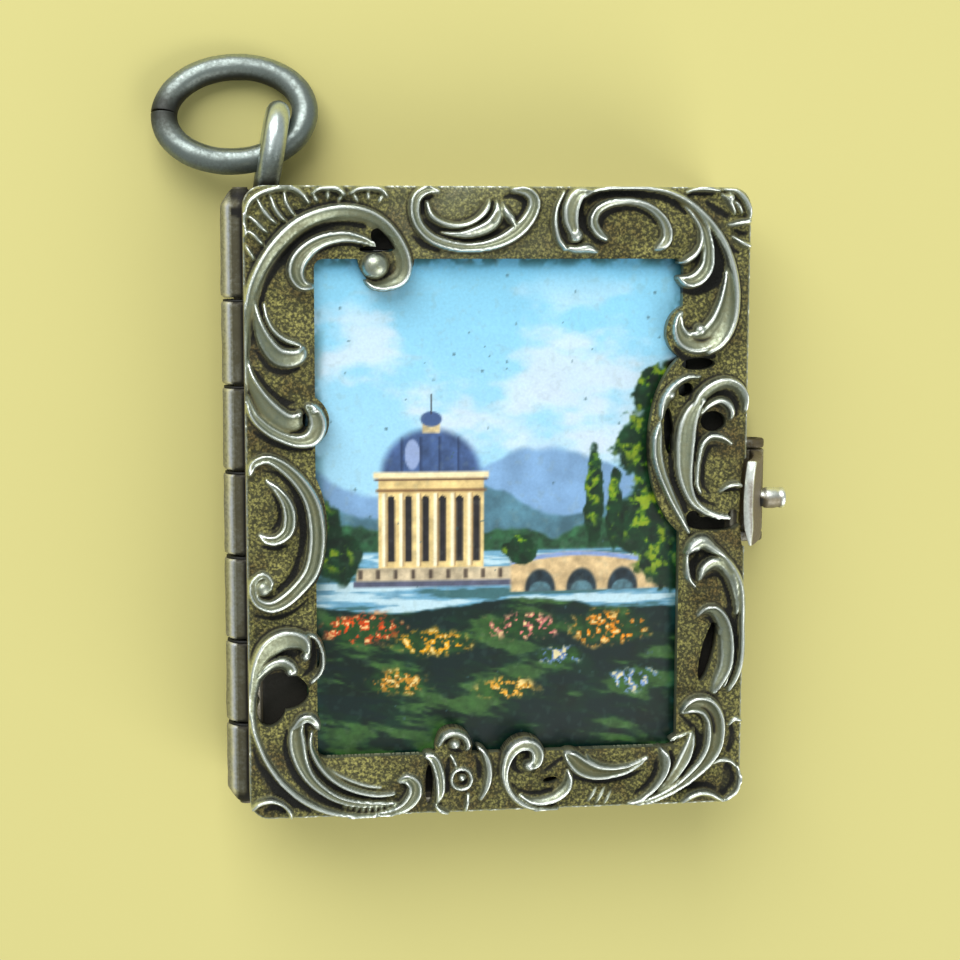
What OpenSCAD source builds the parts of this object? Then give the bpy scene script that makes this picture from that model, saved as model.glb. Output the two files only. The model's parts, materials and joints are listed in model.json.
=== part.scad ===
// Book-shaped silver locket, lying on its back cover. Two shallow trays are hinged along the
// spine. The front one carries a domed enamel plaque under a cast and pierced scroll frame,
// a hasp swings up over the fore edge, and an oval jump ring hangs in a bail loop.
// X runs from the spine to the fore edge, Y up to the ring and Z out of the front cover.
// The origin is the middle of the back cover's outer face.

/* [Covers] */
// Width of the covers, from the spine to the fore edge
cover_w = 20; // [18:0.5:26]
// Height of the covers
cover_h = 25; // [23:0.5:32]
// Radius of the covers' upright corners
corner_r = 0.8; // [0.5:0.1:1.2]
// Thickness of the covers' side walls
wall = 0.5; // [0.35:0.05:0.7]
// Width of the solid bar along the spine inside each cover
spine_bar = 1.4; // [1.2:0.1:2]
// Depth of the back cover
back_depth = 2.45; // [2.2:0.05:3.5]
// Thickness of the back cover's sheet
back_sheet = 0.45; // [0.3:0.05:0.8]
// Depth of the tray inside the front cover
inner_depth = 0.95; // [0.85:0.05:2]
// Thickness of the front cover's sheet
front_sheet = 0.4; // [0.3:0.05:0.8]
// Depth of the recess that holds the plaque
recess_depth = 0.5; // [0.45:0.05:0.8]
// Gap between the closed covers
cover_gap = 0.1; // [0.06:0.02:0.2]

/* [Spine hinge] */
// Radius of the hinge barrel
barrel_r = 0.8; // [0.7:0.05:1]
// How far the hinge axis stands outside the spine side
hinge_out = 0.05; // [0.04:0.01:0.12]
// Length of each knuckle but the top one, which takes the rest
knuckle_pitch = 3.42; // [3.1:0.02:3.6]
// Number of knuckles
knuckles = 7; // [7]
// Gap between two knuckles
knuckle_gap = 0.12; // [0.06:0.02:0.2]
// Length of the cone that ends the barrel
barrel_cone = 0.7; // [0.4:0.1:1]
// Radius of the hinge pin
pin_r = 0.3; // [0.2:0.05:0.4]
// Running clearance round every pin
pin_clear = 0.04; // [0.02:0.01:0.08]
// Clearance between a knuckle and the cove cut for it in the other cover
cove_clear = 0.08; // [0.05:0.01:0.12]

/* [Enamel plaque] */
// Width of the window in the frame
window_w = 14.6; // [13:0.1:16]
// Height of the window in the frame
window_h = 19.8; // [18:0.1:21]
// How far the window's middle lies below the cover's middle
window_drop = 0.2; // [0:0.05:0.5]
// How far the plaque runs on under the frame
plaque_lap = 0.35; // [0.2:0.05:0.5]
// Thickness of the plaque at its edge
plaque_t = 0.33; // [0.25:0.01:0.4]
// Rise of the plaque's dome above its edge
plaque_dome = 0.3; // [0.1:0.05:0.4]
// Thickness of the rim that seats the plaque
seat_t = 0.25; // [0.2:0.05:0.4]
// Clearance round the plaque
plaque_clear = 0.05; // [0.03:0.01:0.1]

/* [Scroll frame] */
// Thickness of the frame's ground
frame_t = 0.6; // [0.4:0.05:0.9]
// Height of the tallest scroll above the ground
relief_h = 0.6; // [0.4:0.05:0.8]
// How deep a scroll is rooted in the ground
relief_root = 0.05; // [0.03:0.01:0.1]
// Gap under the frame
seat_gap = 0.02; // [0.01:0.01:0.05]

/* [Hasp] */
// Length of the hasp along the fore edge
hasp_w = 3.45; // [2.5:0.05:4.5]
// Thickness of the hasp
hasp_t = 0.4; // [0.3:0.05:0.5]
// Height of the hasp's middle above the cover's middle
hasp_mid = -0.1; // [-1:0.1:1]
// How far the hasp's hinge stands outside the fore edge
hasp_out = 1.35; // [1:0.05:2]
// Height of the hasp's hinge above the back face
hasp_low = 0.9; // [0.7:0.05:1.2]
// Radius of the hasp's knuckle and lugs
hasp_knuckle_r = 0.5; // [0.4:0.05:0.6]
// How far the hasp's tip rises above the frame's ground
hasp_rise = 0.2; // [0:0.05:0.4]
// Outward bow of the hasp
hasp_bow = 0.25; // [0.1:0.05:0.6]
// Depth of the notch in the fore edge that takes the hasp's tip
hasp_notch = 0.2; // [0.15:0.05:0.3]
// Thickness of each hasp lug
lug_t = 0.38; // [0.3:0.02:0.6]
// Gap between the hasp and each lug
lug_gap = 0.06; // [0.04:0.01:0.12]
// Radius of the hasp pin
hasp_pin_r = 0.22; // [0.15:0.01:0.28]
// Radius of the thumb knob
knob_r = 0.43; // [0.3:0.01:0.6]
// Length of the thumb knob
knob_l = 0.95; // [0.6:0.05:1.4]

/* [Bail loop and jump ring] */
// Radius of the bail loop's wire
loop_wire_r = 0.425; // [0.3:0.025:0.5]
// Clearance between the jump ring and the bail loop across the hole
loop_clear = 0.18; // [0.1:0.02:0.3]
// Straight stretch of the bail loop
loop_straight = 0.7; // [0.2:0.1:1]
// How far the bail loop stands in from the spine side
loop_in = 1; // [0.9:0.05:2]
// Height of the bail loop's middle above the back face
loop_z = 1.62; // [1.56:0.02:1.8]
// Lean of the bail loop towards the fore edge
loop_lean = 10; // [0:1:15]
// Radius of the jump ring's wire
ring_wire_r = 0.53; // [0.4:0.01:0.6]
// Outer width of the jump ring
ring_long = 6.65; // [6:0.05:8]
// Outer height of the jump ring
ring_short = 4.95; // [4.7:0.05:6]
// Turn of the jump ring in its own plane
ring_turn = 6; // [0:1:10]

/* [Hidden] */

silver = [0.72, 0.71, 0.67];
dark_silver = [0.5, 0.49, 0.45];
sky_blue = [0.62, 0.8, 0.88];
fit = 0.01;
trim = 0.06;

// Heights
hinge_z = back_depth + cover_gap / 2;
front_z = back_depth + cover_gap;
inner_z = front_z + inner_depth;
floor_z = inner_z + front_sheet;
rim_z = floor_z + recess_depth;
frame_z = rim_z + seat_gap;
ground_z = frame_z + frame_t;

// Spine hinge
hinge_x = -cover_w / 2 - hinge_out;
hinge_len = cover_h - 0.1;
cone_end_r = barrel_r * 0.6;
cove_r = barrel_r + cove_clear;

// Plaque and window
plaque_w = window_w + 2 * plaque_lap;
plaque_h = window_h + 2 * plaque_lap;

// Hasp: its plate is an arc from the hinge at the foot to the tip at the top
hasp_foot = [cover_w / 2 + hasp_out, hasp_low];
hasp_tip = [cover_w / 2 + hasp_t / 2 - hasp_notch / 4, ground_z + hasp_rise];
hasp_chord = norm(hasp_tip - hasp_foot);
hasp_r = (hasp_chord * hasp_chord / 4 + hasp_bow * hasp_bow) / (2 * hasp_bow);
hasp_along = (hasp_tip - hasp_foot) / hasp_chord;
hasp_out_dir = [hasp_along[1], -hasp_along[0]];
hasp_eye = (hasp_foot + hasp_tip) / 2 - hasp_out_dir * (hasp_r - hasp_bow);
hasp_from = atan2(hasp_foot[1] - hasp_eye[1], hasp_foot[0] - hasp_eye[0]);
hasp_to = atan2(hasp_tip[1] - hasp_eye[1], hasp_tip[0] - hasp_eye[0]);
knob_share = 0.6;
knob_at = hasp_from + (hasp_to - hasp_from) * knob_share;
lug_mid = hasp_w / 2 + lug_gap + lug_t / 2;

// Bail loop and jump ring
loop_r = ring_wire_r + loop_clear + loop_wire_r;
loop_x = -cover_w / 2 + loop_in;
loop_y = cover_h / 2 - loop_wire_r * 0.1 + loop_r + loop_straight / 2;
ring_a = ring_long / 2 - ring_wire_r;
ring_b = ring_short / 2 - ring_wire_r;
// Its four arcs are quarter turns, which meet at 45 degrees
ring_end_r = (ring_b - (sqrt(2) - 1) * ring_a) / (2 - sqrt(2));
ring_shift = ring_a - ring_end_r;
ring_side_r = ring_b + ring_shift;
// The ring threads the loop a little right of its own middle, and its far side lies on the floor
ring_off = 0.42;
ring_gap = 0.08;
ring_x = loop_x - ring_a * ring_off;
ring_y = loop_y + loop_straight / 2 + ring_b * 0.54;
ring_tilt = asin((loop_z - loop_clear + ring_gap - ring_wire_r) / (1.83 * ring_b));
ring_z = ring_wire_r + fit + ring_b * sin(ring_tilt);

// The drawing of the frame. Its steps are a twentieth of the cover's width across and a
// twenty-fifth of its height up, counted from the cover's middle.
step_x = cover_w / 20;
step_y = cover_h / 25;
function at(p) = [p[0] * step_x, p[1] * step_y];

// Each scroll is a stretch of an ellipse, which may end in a curl that winds further the same way:
// [middle x, middle y, half width, half height, from, to, first curl, last curl, rib, height]
// Curls give the radius where they start, and the height is a share of relief_h.
SCROLLS = [
    // Upper left: the great C with its ball, and the scroll inside it
    [-6.1, 7.2, 3.95, 4.4, 182, 66, 0, 1.4, 0.5, 1],
    [-5.95, 9.05, 2.25, 1.7, 182, 50, 0.45, 0, 0.4, 0.75],
    [-8.4, 8, 1.2, 2.15, 165, 300, 0, 0, 0.4, 0.7],
    [-8, 7.9, 1.1, 1.65, 175, 285, 0, 0, 0.3, 0.6],
    // Left: the small curl and the tall D under it
    [-8.5, 5.6, 1.35, 1.85, 175, 285, 0, 0, 0.35, 0.7],
    [-8, 4.95, 2.05, 2.45, 195, 272, 0, 0.8, 0.5, 0.9],
    [-9.2, -0.9, 1.95, 3, 112, -95, 0, 0.75, 0.6, 0.9],
    [-9.2, -0.2, 0.95, 1.25, 88, -60, 0, 0.42, 0.35, 0.75],
    // Lower left: the great scroll and its inner one
    [-8.3, -7, 1.6, 2.1, 182, 72, 0, 0.75, 0.65, 1],
    [-5.2, -7.5, 4.65, 4.95, 182, 280, 0, 1.05, 0.4, 0.85],
    [-8.8, -7.1, 0.95, 0.9, 170, 50, 0, 0, 0.35, 0.6],
    [-5.4, -9.3, 3, 2.7, 178, 285, 0.5, 0, 0.4, 0.85],
    [-5, -9.4, 2.5, 2.25, 180, 280, 0, 0, 0.25, 0.55],
    [-9.2, -12.2, 0.75, 0.7, 165, 5, 0, 0, 0.25, 0.6],
    // Foot: the cartouche, the round C and the leaf beside it
    [-3.3, -11.2, 0.85, 1.3, 62, -50, 0, 0, 0.3, 0.7],
    [-1.2, -10.9, 0.75, 1.25, 65, -65, 0, 0, 0.3, 0.7],
    [-1.9, -9.75, 0.6, 0.6, 155, -5, 0, 0, 0.3, 0.8],
    [-1.47, -11.2, 0.36, 0.36, 0, 345, 0, 0, 0.2, 0.5],
    [2.7, -10.85, 2.45, 1.75, 180, 285, 0.78, 0, 0.4, 0.9],
    [1.8, -11.2, 1, 0.85, 0, -150, 0, 0, 0.25, 0.6],
    [4.7, -9, 1.75, 1.85, 222, 315, 0, 0, 0.3, 0.8],
    [4.5, -9.6, 1.8, 1.6, 205, 330, 0, 0, 0.45, 0.6],
    [4.6, -10.6, 2.3, 1.85, 14, -78, 0, 0, 0.4, 0.8],
    // Lower right: the S into the corner, the crescent and its leaf
    [6.2, -10, 2.25, 2.3, 30, -88, 0, 0, 0.35, 0.7],
    [8.25, -9.3, 0.95, 1.4, 140, -62, 0, 0, 0.45, 0.9],
    [8.5, -12.4, 0.7, 0.5, 172, 8, 0, 0, 0.25, 0.6],
    [7.9, -5, 1.95, 3.25, 92, -58, 0.7, 0, 0.4, 0.9],
    [8.6, -4.3, 1.05, 1.8, 110, 5, 0, 0, 0.35, 0.6],
    [8.5, -6.2, 0.9, 1.85, 118, -42, 0, 0, 0.3, 0.75],
    // Right: the ear, with its open stem
    [9, 3.8, 0.85, 1.05, 150, -35, 0, 0, 0.45, 1],
    [9.2, 2.1, 1.85, 2.7, 130, 262, 0, 0, 0.55, 0.8],
    [8.75, 3.5, 0.6, 0.55, 150, -10, 0, 0, 0.25, 0.7],
    [8.7, 1.4, 0.75, 1.1, 218, 62, 0, 0, 0.3, 0.6],
    [9.2, 3, 2.95, 5.1, 172, 236, 0, 0, 0.25, 0.6],
    [7.6, 3.9, 1.05, 1.05, 180, 82, 0, 0, 0.3, 0.7],
    [9.4, 0.2, 0.45, 0.45, 160, 30, 0, 0, 0.2, 0.5],
    // Upper right: the great scroll with its volute, and the two scrolls inside it
    [5, 8, 4.35, 4.3, 122, -5, 0, 1.3, 0.5, 1],
    [6.3, 9.6, 2, 2.55, 62, -8, 0, 0.72, 0.35, 0.75],
    [7.2, 10.3, 0.7, 0.75, 30, -85, 0, 0, 0.25, 0.5],
    [5, 10.95, 1.6, 1.05, 215, -35, 0, 0.42, 0.34, 0.85],
    [4.2, 11, 1.8, 1.4, 192, 125, 0.45, 0, 0.4, 0.9],
    // Head: the crescent between the two great scrolls
    [-1.05, 11.75, 2.35, 1.75, 180, 358, 0.42, 0.48, 0.4, 0.95],
    [-1.75, 12, 1.25, 1.1, 190, 345, 0, 0, 0.3, 0.7],
    [-1.2, 11.4, 1.35, 1.05, 12, -80, 0, 0, 0.35, 0.6],
    // Shell edges of the two upper corners and the head
    [-8.7, 11.1, 1.12, 1.2, 172, 25, 0, 0, 0.25, 0.6],
    [-6.8, 12, 0.65, 0.4, 165, 15, 0, 0, 0.2, 0.6],
    [-5.2, 12, 0.7, 0.4, 165, 15, 0, 0, 0.2, 0.6],
    [8, 12.1, 0.6, 0.3, 165, 15, 0, 0, 0.2, 0.6],
    [9.1, 11.6, 0.7, 0.75, 80, -10, 0, 0, 0.25, 0.6]
];

// Balls and buds: [x, y, radius, height]
BUDS = [
    [-4.95, 9.4, 0.5, 1], [-8.3, 3.4, 0.42, 0.8], [-7.4, 3.9, 0.3, 0.8], [-7.8, -5.65, 0.38, 0.9],
    [-7.65, -8.6, 0.38, 0.9], [-3.7, -11.2, 0.28, 0.7], [-2.3, -12.3, 0.28, 0.6],
    [1.25, -10.4, 0.42, 0.9], [3.2, -10.5, 0.35, 0.7], [6.75, -10.3, 0.3, 0.8],
    [7.85, -1.85, 0.38, 1], [8.35, -2.85, 0.38, 0.6], [2.95, 10.7, 0.3, 0.7], [3.3, 10.2, 0.32, 0.5],
    [7.15, 7.2, 0.35, 0.9], [8, 6.95, 0.38, 0.6], [0.15, 11.45, 0.28, 0.8], [9.05, 12, 0.25, 0.7],
    [-9.35, -3.1, 0.38, 0.6], [7.4, 8.9, 0.28, 0.7], [-8.7, 5.9, 0.3, 0.5]
];

// Flutings, as fans of short ribs: [x, y, inner radius, outer radius, from, to, count]
FANS = [
    [-8.1, 10.4, 0.7, 1.65, 100, 168, 6], [-6.8, 11.2, 0.65, 1, 65, 120, 4],
    [-5.2, 11.2, 0.65, 1, 60, 115, 4], [8.5, 10.8, 0.75, 1.35, 72, -12, 6],
    [-5.2, -9.6, 2.6, 2.8, 252, 285, 7], [5.6, -10.8, 1.4, 1.9, 208, 235, 4],
    [8.4, -9.8, 1.15, 1.45, 38, -38, 6]
];

// Parts of the ground that run in over the plaque: [x, y, half width, half height]
LOBES = [
    [8.2, 2.3, 2.15, 3.9], [7.8, 6.8, 1.15, 1.15], [-4.5, 9.75, 1.1, 1.1], [-7.8, 3.4, 1.05, 1.05],
    [-8.7, -0.9, 1.85, 3.2], [-1.85, -9.8, 0.75, 0.75], [1, -10.4, 0.85, 0.85]
];

// Gaps sawn through the ground: [x, y, half width, half height, turn]
PIERCINGS = [
    [-8.6, -7.4, 1, 0.8, -10], [-9.25, -8.05, 0.32, 0.5, 20], [8.65, 3.25, 0.55, 0.4, -10],
    [8.7, -0.95, 1, 0.3, -4], [8.5, -6.3, 0.26, 1.1, -8], [6.82, 2.7, 0.18, 0.85, 4],
    [7.5, 4.55, 0.15, 0.36, -25], [-4.65, 10.4, 0.42, 0.4, 30], [8, 5.35, 0.7, 0.2, 4],
    [-2.8, -11.5, 0.14, 0.7, 0], [-7.68, 3.45, 0.13, 0.28, 10], [2.15, -11.3, 0.28, 0.13, 10]
];

curl_turn = 270;
curl_tighten = 0.5;
// How far a chord may leave its arc
sag = 0.055;
bud_sides = 9;
tip_share = 0.4;
curl_share = 0.6;
// Width of a lobe's neck, as a share of the lobe's
neck_share = 0.8;

// What is left of a rib's width and height k steps from its end
function tip(k, tapers) = min(1, (tapers ? tip_share : curl_share) + k / 3.5);

function reversed(list) = [for (i = [len(list) - 1:-1:0]) list[i]];
function spot(s, a) = [s[0] + s[2] * cos(a), s[1] + s[3] * sin(a)];
function way(s) = sign(s[5] - s[4]);
function heading(s, a) = atan2(way(s) * s[3] * cos(a), -way(s) * s[2] * sin(a));
function steps(turn, r) = ceil(turn / (2 * acos(1 - sag / r)));
function stretch(s) =
    let (n = max(3, steps(abs(s[5] - s[4]), max(s[2], s[3]))))
    [for (i = [0:n]) spot(s, s[4] + (s[5] - s[4]) * i / n)];
function curl(p, head, side, r, k = 0) =
    let (n = r == 0 ? 0 : steps(curl_turn, r))
    k == n ? [] :
    let (turn = curl_turn / n,
         now_r = r * (1 - curl_tighten * k / n),
         mid = head + side * turn / 2,
         q = p + 2 * now_r * sin(turn / 2) * [cos(mid), sin(mid)])
    concat([q], curl(q, head + side * turn, side, r, k + 1));
function scroll_line(s) = concat(
    reversed(curl(spot(s, s[4]), heading(s, s[4]) + 180, -way(s), s[6])),
    stretch(s),
    curl(spot(s, s[5]), heading(s, s[5]), way(s), s[7]));

module rounded(w, h, r) {
    square([w - 2 * r, h], center = true);
    square([w, h - 2 * r], center = true);
    for (x = [-1, 1], y = [-1, 1])
        translate([x * (w / 2 - r), y * (h / 2 - r)]) circle(r = r, $fn = 48);
}

module slab(w, h, r, low, high) {
    translate([0, 0, low]) linear_extrude(high - low) rounded(w, h, r);
}

// A bar that lies along Y
module rod(r, from, to, r2 = -1) {
    translate([0, from, 0]) rotate([-90, 0, 0])
        cylinder(r1 = r, r2 = r2 < 0 ? r : r2, h = to - from, $fn = 64);
}

// Where knuckle k starts, counted from the foot; past the last one it gives the top end
function knuckle_y(k) = k < knuckles ? k * knuckle_pitch - hinge_len / 2 : hinge_len / 2;

module barrel(k) {
    low = knuckle_y(k) + (k == 0 ? barrel_cone : knuckle_gap / 2);
    high = knuckle_y(k + 1) - (k == knuckles - 1 ? barrel_cone : knuckle_gap / 2);
    translate([hinge_x, 0, hinge_z]) {
        rod(barrel_r, low, high);
        if (k == 0) rod(cone_end_r, low - barrel_cone, low, barrel_r);
        if (k == knuckles - 1) rod(barrel_r, high, high + barrel_cone, cone_end_r);
    }
}

module cove(k) {
    low = knuckle_y(k) - (k == 0 ? wall : knuckle_gap / 2);
    high = knuckle_y(k + 1) + (k == knuckles - 1 ? wall : knuckle_gap / 2);
    translate([hinge_x, 0, hinge_z]) rod(cove_r, low, high);
}

module pin_bore() {
    translate([hinge_x, 0, hinge_z])
        rod(pin_r + pin_clear, -hinge_len / 2 - wall, hinge_len / 2 + wall);
}

// The hollow of a tray, which leaves the walls and the bar along the spine
module hollow(low, high) {
    x0 = -cover_w / 2 + spine_bar;
    x1 = cover_w / 2 - wall;
    inner_r = max(corner_r - wall, 0.1);
    translate([(x0 + x1) / 2, 0, 0]) slab(x1 - x0, cover_h - 2 * wall, inner_r, low, high);
}

module hasp_lug(side) {
    y = hasp_mid + side * lug_mid;
    translate([hasp_foot[0], y, hasp_low]) rod(hasp_knuckle_r, -lug_t / 2, lug_t / 2);
    translate([cover_w / 2 - wall / 2, y - lug_t / 2, hasp_low - hasp_knuckle_r])
        cube([hasp_out + wall / 2, lug_t, 2 * hasp_knuckle_r]);
}

module hasp_bore() {
    translate([hasp_foot[0], hasp_mid, hasp_low])
        rod(hasp_pin_r + pin_clear, -hasp_w, hasp_w);
}

module hasp_notch_cut() {
    long = hasp_w + 2 * lug_gap;
    translate([cover_w / 2 - hasp_notch, hasp_mid - long / 2, front_z - fit])
        cube([hasp_notch + 1, long, relief_h + ground_z]);
}

// Half of the bail loop, with one straight side
module half_loop() {
    translate([0, loop_straight / 2, 0])
        rotate_extrude(angle = 180, $fn = 64) translate([loop_r, 0]) circle(r = loop_wire_r, $fn = 32);
    translate([loop_r, -loop_straight / 2, 0])
        rotate([-90, 0, 0]) cylinder(r = loop_wire_r, h = loop_straight, $fn = 32);
}

module bail_loop() {
    foot = cover_h / 2 - loop_y;
    translate([loop_x, loop_y, loop_z]) translate([0, foot, 0]) rotate([0, 0, -loop_lean])
        translate([0, -foot, 0]) rotate([0, 90, 0]) {
            half_loop();
            rotate([0, 0, 180]) half_loop();
        }
}

module back_cover() {
    color(silver) difference() {
        union() {
            difference() {
                slab(cover_w, cover_h, corner_r, 0, back_depth);
                hollow(back_sheet, back_depth + 1);
                for (k = [1:2:knuckles - 1]) cove(k);
            }
            for (k = [0:2:knuckles - 1]) barrel(k);
            for (side = [-1, 1]) hasp_lug(side);
            bail_loop();
        }
        pin_bore();
        hasp_bore();
    }
}

module front_cover() {
    color(silver) difference() {
        union() {
            difference() {
                slab(cover_w, cover_h, corner_r, front_z, rim_z);
                hollow(front_z - 1, inner_z);
                slab(cover_w - 2 * wall, cover_h - 2 * wall, 0.3, floor_z, rim_z + 1);
                for (k = [0:2:knuckles - 1]) cove(k);
            }
            for (k = [1:2:knuckles - 1]) barrel(k);
            plaque_seat();
        }
        pin_bore();
        hasp_notch_cut();
    }
}

// Low rim on the front cover's sheet, round the plaque
module plaque_seat() {
    in_w = plaque_w + 2 * plaque_clear;
    in_h = plaque_h + 2 * plaque_clear;
    translate([0, -window_drop, floor_z - fit]) linear_extrude(recess_depth * 0.7) difference() {
        square([in_w + 2 * seat_t, in_h + 2 * seat_t], center = true);
        square([in_w, in_h], center = true);
    }
}

// Domed plaque: a grid of heights over a flat back
module enamel_plaque() {
    across = 12;
    up = 16;
    top = [for (j = [0:up], i = [0:across])
        let (x = 2 * i / across - 1, y = 2 * j / up - 1)
        [x * plaque_w / 2, y * plaque_h / 2, plaque_t + plaque_dome * (1 - x * x) * (1 - y * y)]];
    back = [for (p = top) [p[0], p[1], 0]];
    n = len(top);
    row = across + 1;
    cells = [for (j = [0:up - 1], i = [0:across - 1]) j * row + i];
    edge = concat([for (i = [0:across - 1]) i], [for (j = [0:up - 1]) j * row + across],
                  [for (i = [across:-1:1]) up * row + i], [for (j = [up:-1:1]) j * row]);
    color(sky_blue) translate([0, -window_drop, floor_z + fit]) polyhedron(
        points = concat(top, back),
        faces = concat(
            [for (a = cells) [a, a + row, a + row + 1]],
            [for (a = cells) [a, a + row + 1, a + 1]],
            [for (a = cells) [n + a, n + a + row + 1, n + a + row]],
            [for (a = cells) [n + a, n + a + 1, n + a + row + 1]],
            [for (e = [0:len(edge) - 1]) let (a = edge[e], b = edge[(e + 1) % len(edge)])
                [a, b, b + n, a + n]]));
}

module drawn_ellipse(e, turn = 0) {
    translate(at([e[0], e[1]])) rotate(turn) scale([e[2] * step_x, e[3] * step_y]) circle(r = 1, $fn = 22);
}

// A lobe with a neck that runs on under the border, so that it holds wherever the window's edge lies
module lobe(e) {
    upright = abs(e[1]) / window_h > abs(e[0]) / window_w;
    out = upright ? [0, sign(e[1]) * cover_h / 2] : [sign(e[0]) * cover_w / 2, 0];
    neck = neck_share * (upright ? e[2] * step_x : e[3] * step_y);
    drawn_ellipse(e);
    translate(at([e[0], e[1]]) + out / 2)
        square(upright ? [2 * neck, abs(out[1])] : [abs(out[0]), 2 * neck], center = true);
}

module frame_ground() {
    translate([0, 0, frame_z]) linear_extrude(frame_t) difference() {
        rounded(cover_w, cover_h, corner_r);
        difference() {
            translate([0, -window_drop]) square([window_w, window_h], center = true);
            for (e = LOBES) lobe(e);
        }
        for (gap = PIERCINGS) drawn_ellipse(gap, gap[4]);
    }
}

// A rib with a rounded back, swept along a line in the drawing; its free ends run out to tips
module rib(line, wide, high, first_tip, last_tip) {
    n = len(line);
    path = [for (p = line) at(p)];
    profile = [[-1, 0], [-0.62, 0.78], [0, 1], [0.62, 0.78], [1, 0]];
    sides = len(profile);
    rings = [for (i = [0:n - 1])
        let (t = path[min(i + 1, n - 1)] - path[max(i - 1, 0)],
             side = [t[1], -t[0]] / norm(t),
             share = min(tip(i, first_tip), tip(n - 1 - i, last_tip)))
        [for (q = profile)
            let (p = path[i] + side * q[0] * share * wide * step_x / 2)
            [p[0], p[1], ground_z - relief_root + q[1] * (relief_root + share * high * relief_h)]]];
    polyhedron(points = [for (ring = rings) for (p = ring) p], faces = concat(
        [[for (k = [0:sides - 1]) k]],
        [[for (k = [sides - 1:-1:0]) (n - 1) * sides + k]],
        [for (i = [0:n - 2], k = [0:sides - 1])
            let (a = i * sides + k, b = i * sides + (k + 1) % sides)
            [a, a + sides, b + sides, b]]));
}

module bud(b) {
    r = b[2] * step_x;
    translate(concat(at([b[0], b[1]]), [ground_z - relief_root])) hull() {
        cylinder(r = r, h = relief_root + b[3] * relief_h * 0.4, $fn = bud_sides);
        cylinder(r = r * 0.45, h = relief_root + b[3] * relief_h, $fn = bud_sides);
    }
}

module fan(f) {
    for (i = [0:f[6] - 1]) {
        a = f[4] + (f[5] - f[4]) * i / (f[6] - 1);
        from = [f[0] + f[2] * cos(a), f[1] + f[2] * sin(a)];
        to = [f[0] + f[3] * cos(a), f[1] + f[3] * sin(a)];
        rib([from, (from + to) / 2, to], 0.2, 0.4, true, true);
    }
}

module scroll_frame() {
    color(dark_silver) difference() {
        union() {
            frame_ground();
            intersection() {
                union() {
                    for (s = SCROLLS) rib(scroll_line(s), s[8], s[9], s[6] == 0, s[7] == 0);
                    for (b = BUDS) bud(b);
                    for (f = FANS) fan(f);
                }
                slab(cover_w - trim, cover_h - trim, corner_r, frame_z, ground_z + 2 * relief_h);
            }
        }
        hasp_notch_cut();
    }
}

module hinge_pin() {
    color(dark_silver) translate([hinge_x, 0, hinge_z]) rod(pin_r, -hinge_len / 2, hinge_len / 2);
}

module hasp() {
    thick_r = hasp_r - hasp_t / 2;
    knob_x = hasp_eye[0] + hasp_r * cos(knob_at);
    knob_z = hasp_eye[1] + hasp_r * sin(knob_at);
    color(silver) difference() {
        union() {
            translate([hasp_eye[0], hasp_mid + hasp_w / 2, hasp_eye[1]]) rotate([90, 0, 0])
                rotate([0, 0, hasp_from]) rotate_extrude(angle = hasp_to - hasp_from, $fn = 180)
                    translate([thick_r, 0]) square([hasp_t, hasp_w]);
            translate([hasp_foot[0], hasp_mid, hasp_low]) rod(hasp_knuckle_r, -hasp_w / 2, hasp_w / 2);
            translate([knob_x, hasp_mid, knob_z]) rotate([0, 90, 0])
                cylinder(r = knob_r, h = hasp_t / 2 + knob_l, $fn = 48);
        }
        hasp_bore();
    }
}

module hasp_pin() {
    half = lug_mid + lug_t / 2;
    color(dark_silver) translate([hasp_foot[0], hasp_mid, hasp_low]) rod(hasp_pin_r, -half, half);
}

// Oval of four quarter arcs
module jump_ring() {
    color(silver) translate([ring_x, ring_y, ring_z]) rotate([-ring_tilt, 0, 0]) rotate([0, 0, ring_turn])
        for (half = [0, 180]) rotate([0, 0, half]) {
            translate([ring_shift, 0, 0]) rotate([0, 0, -45])
                rotate_extrude(angle = 90, $fn = 64)
                    translate([ring_end_r, 0]) circle(r = ring_wire_r, $fn = 32);
            translate([0, -ring_shift, 0]) rotate([0, 0, 45])
                rotate_extrude(angle = 90, $fn = 64)
                    translate([ring_side_r, 0]) circle(r = ring_wire_r, $fn = 32);
        }
}

back_cover();
front_cover();
scroll_frame();
enamel_plaque();
hinge_pin();
hasp();
hasp_pin();
jump_ring();
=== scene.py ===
# %% [markdown]
# # A silver book locket
# The locket is a small book of two hinged trays. A domed enamel plaque lies in the front cover, under a
# cast and pierced scroll frame. A hasp closes the fore edge, and a jump ring hangs in a loop on the spine's
# top end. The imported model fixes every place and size, so this scene only shapes and finishes the surfaces.

import json
import math

import bmesh
import bpy
import numpy as np
from mathutils import Matrix, Vector

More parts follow.
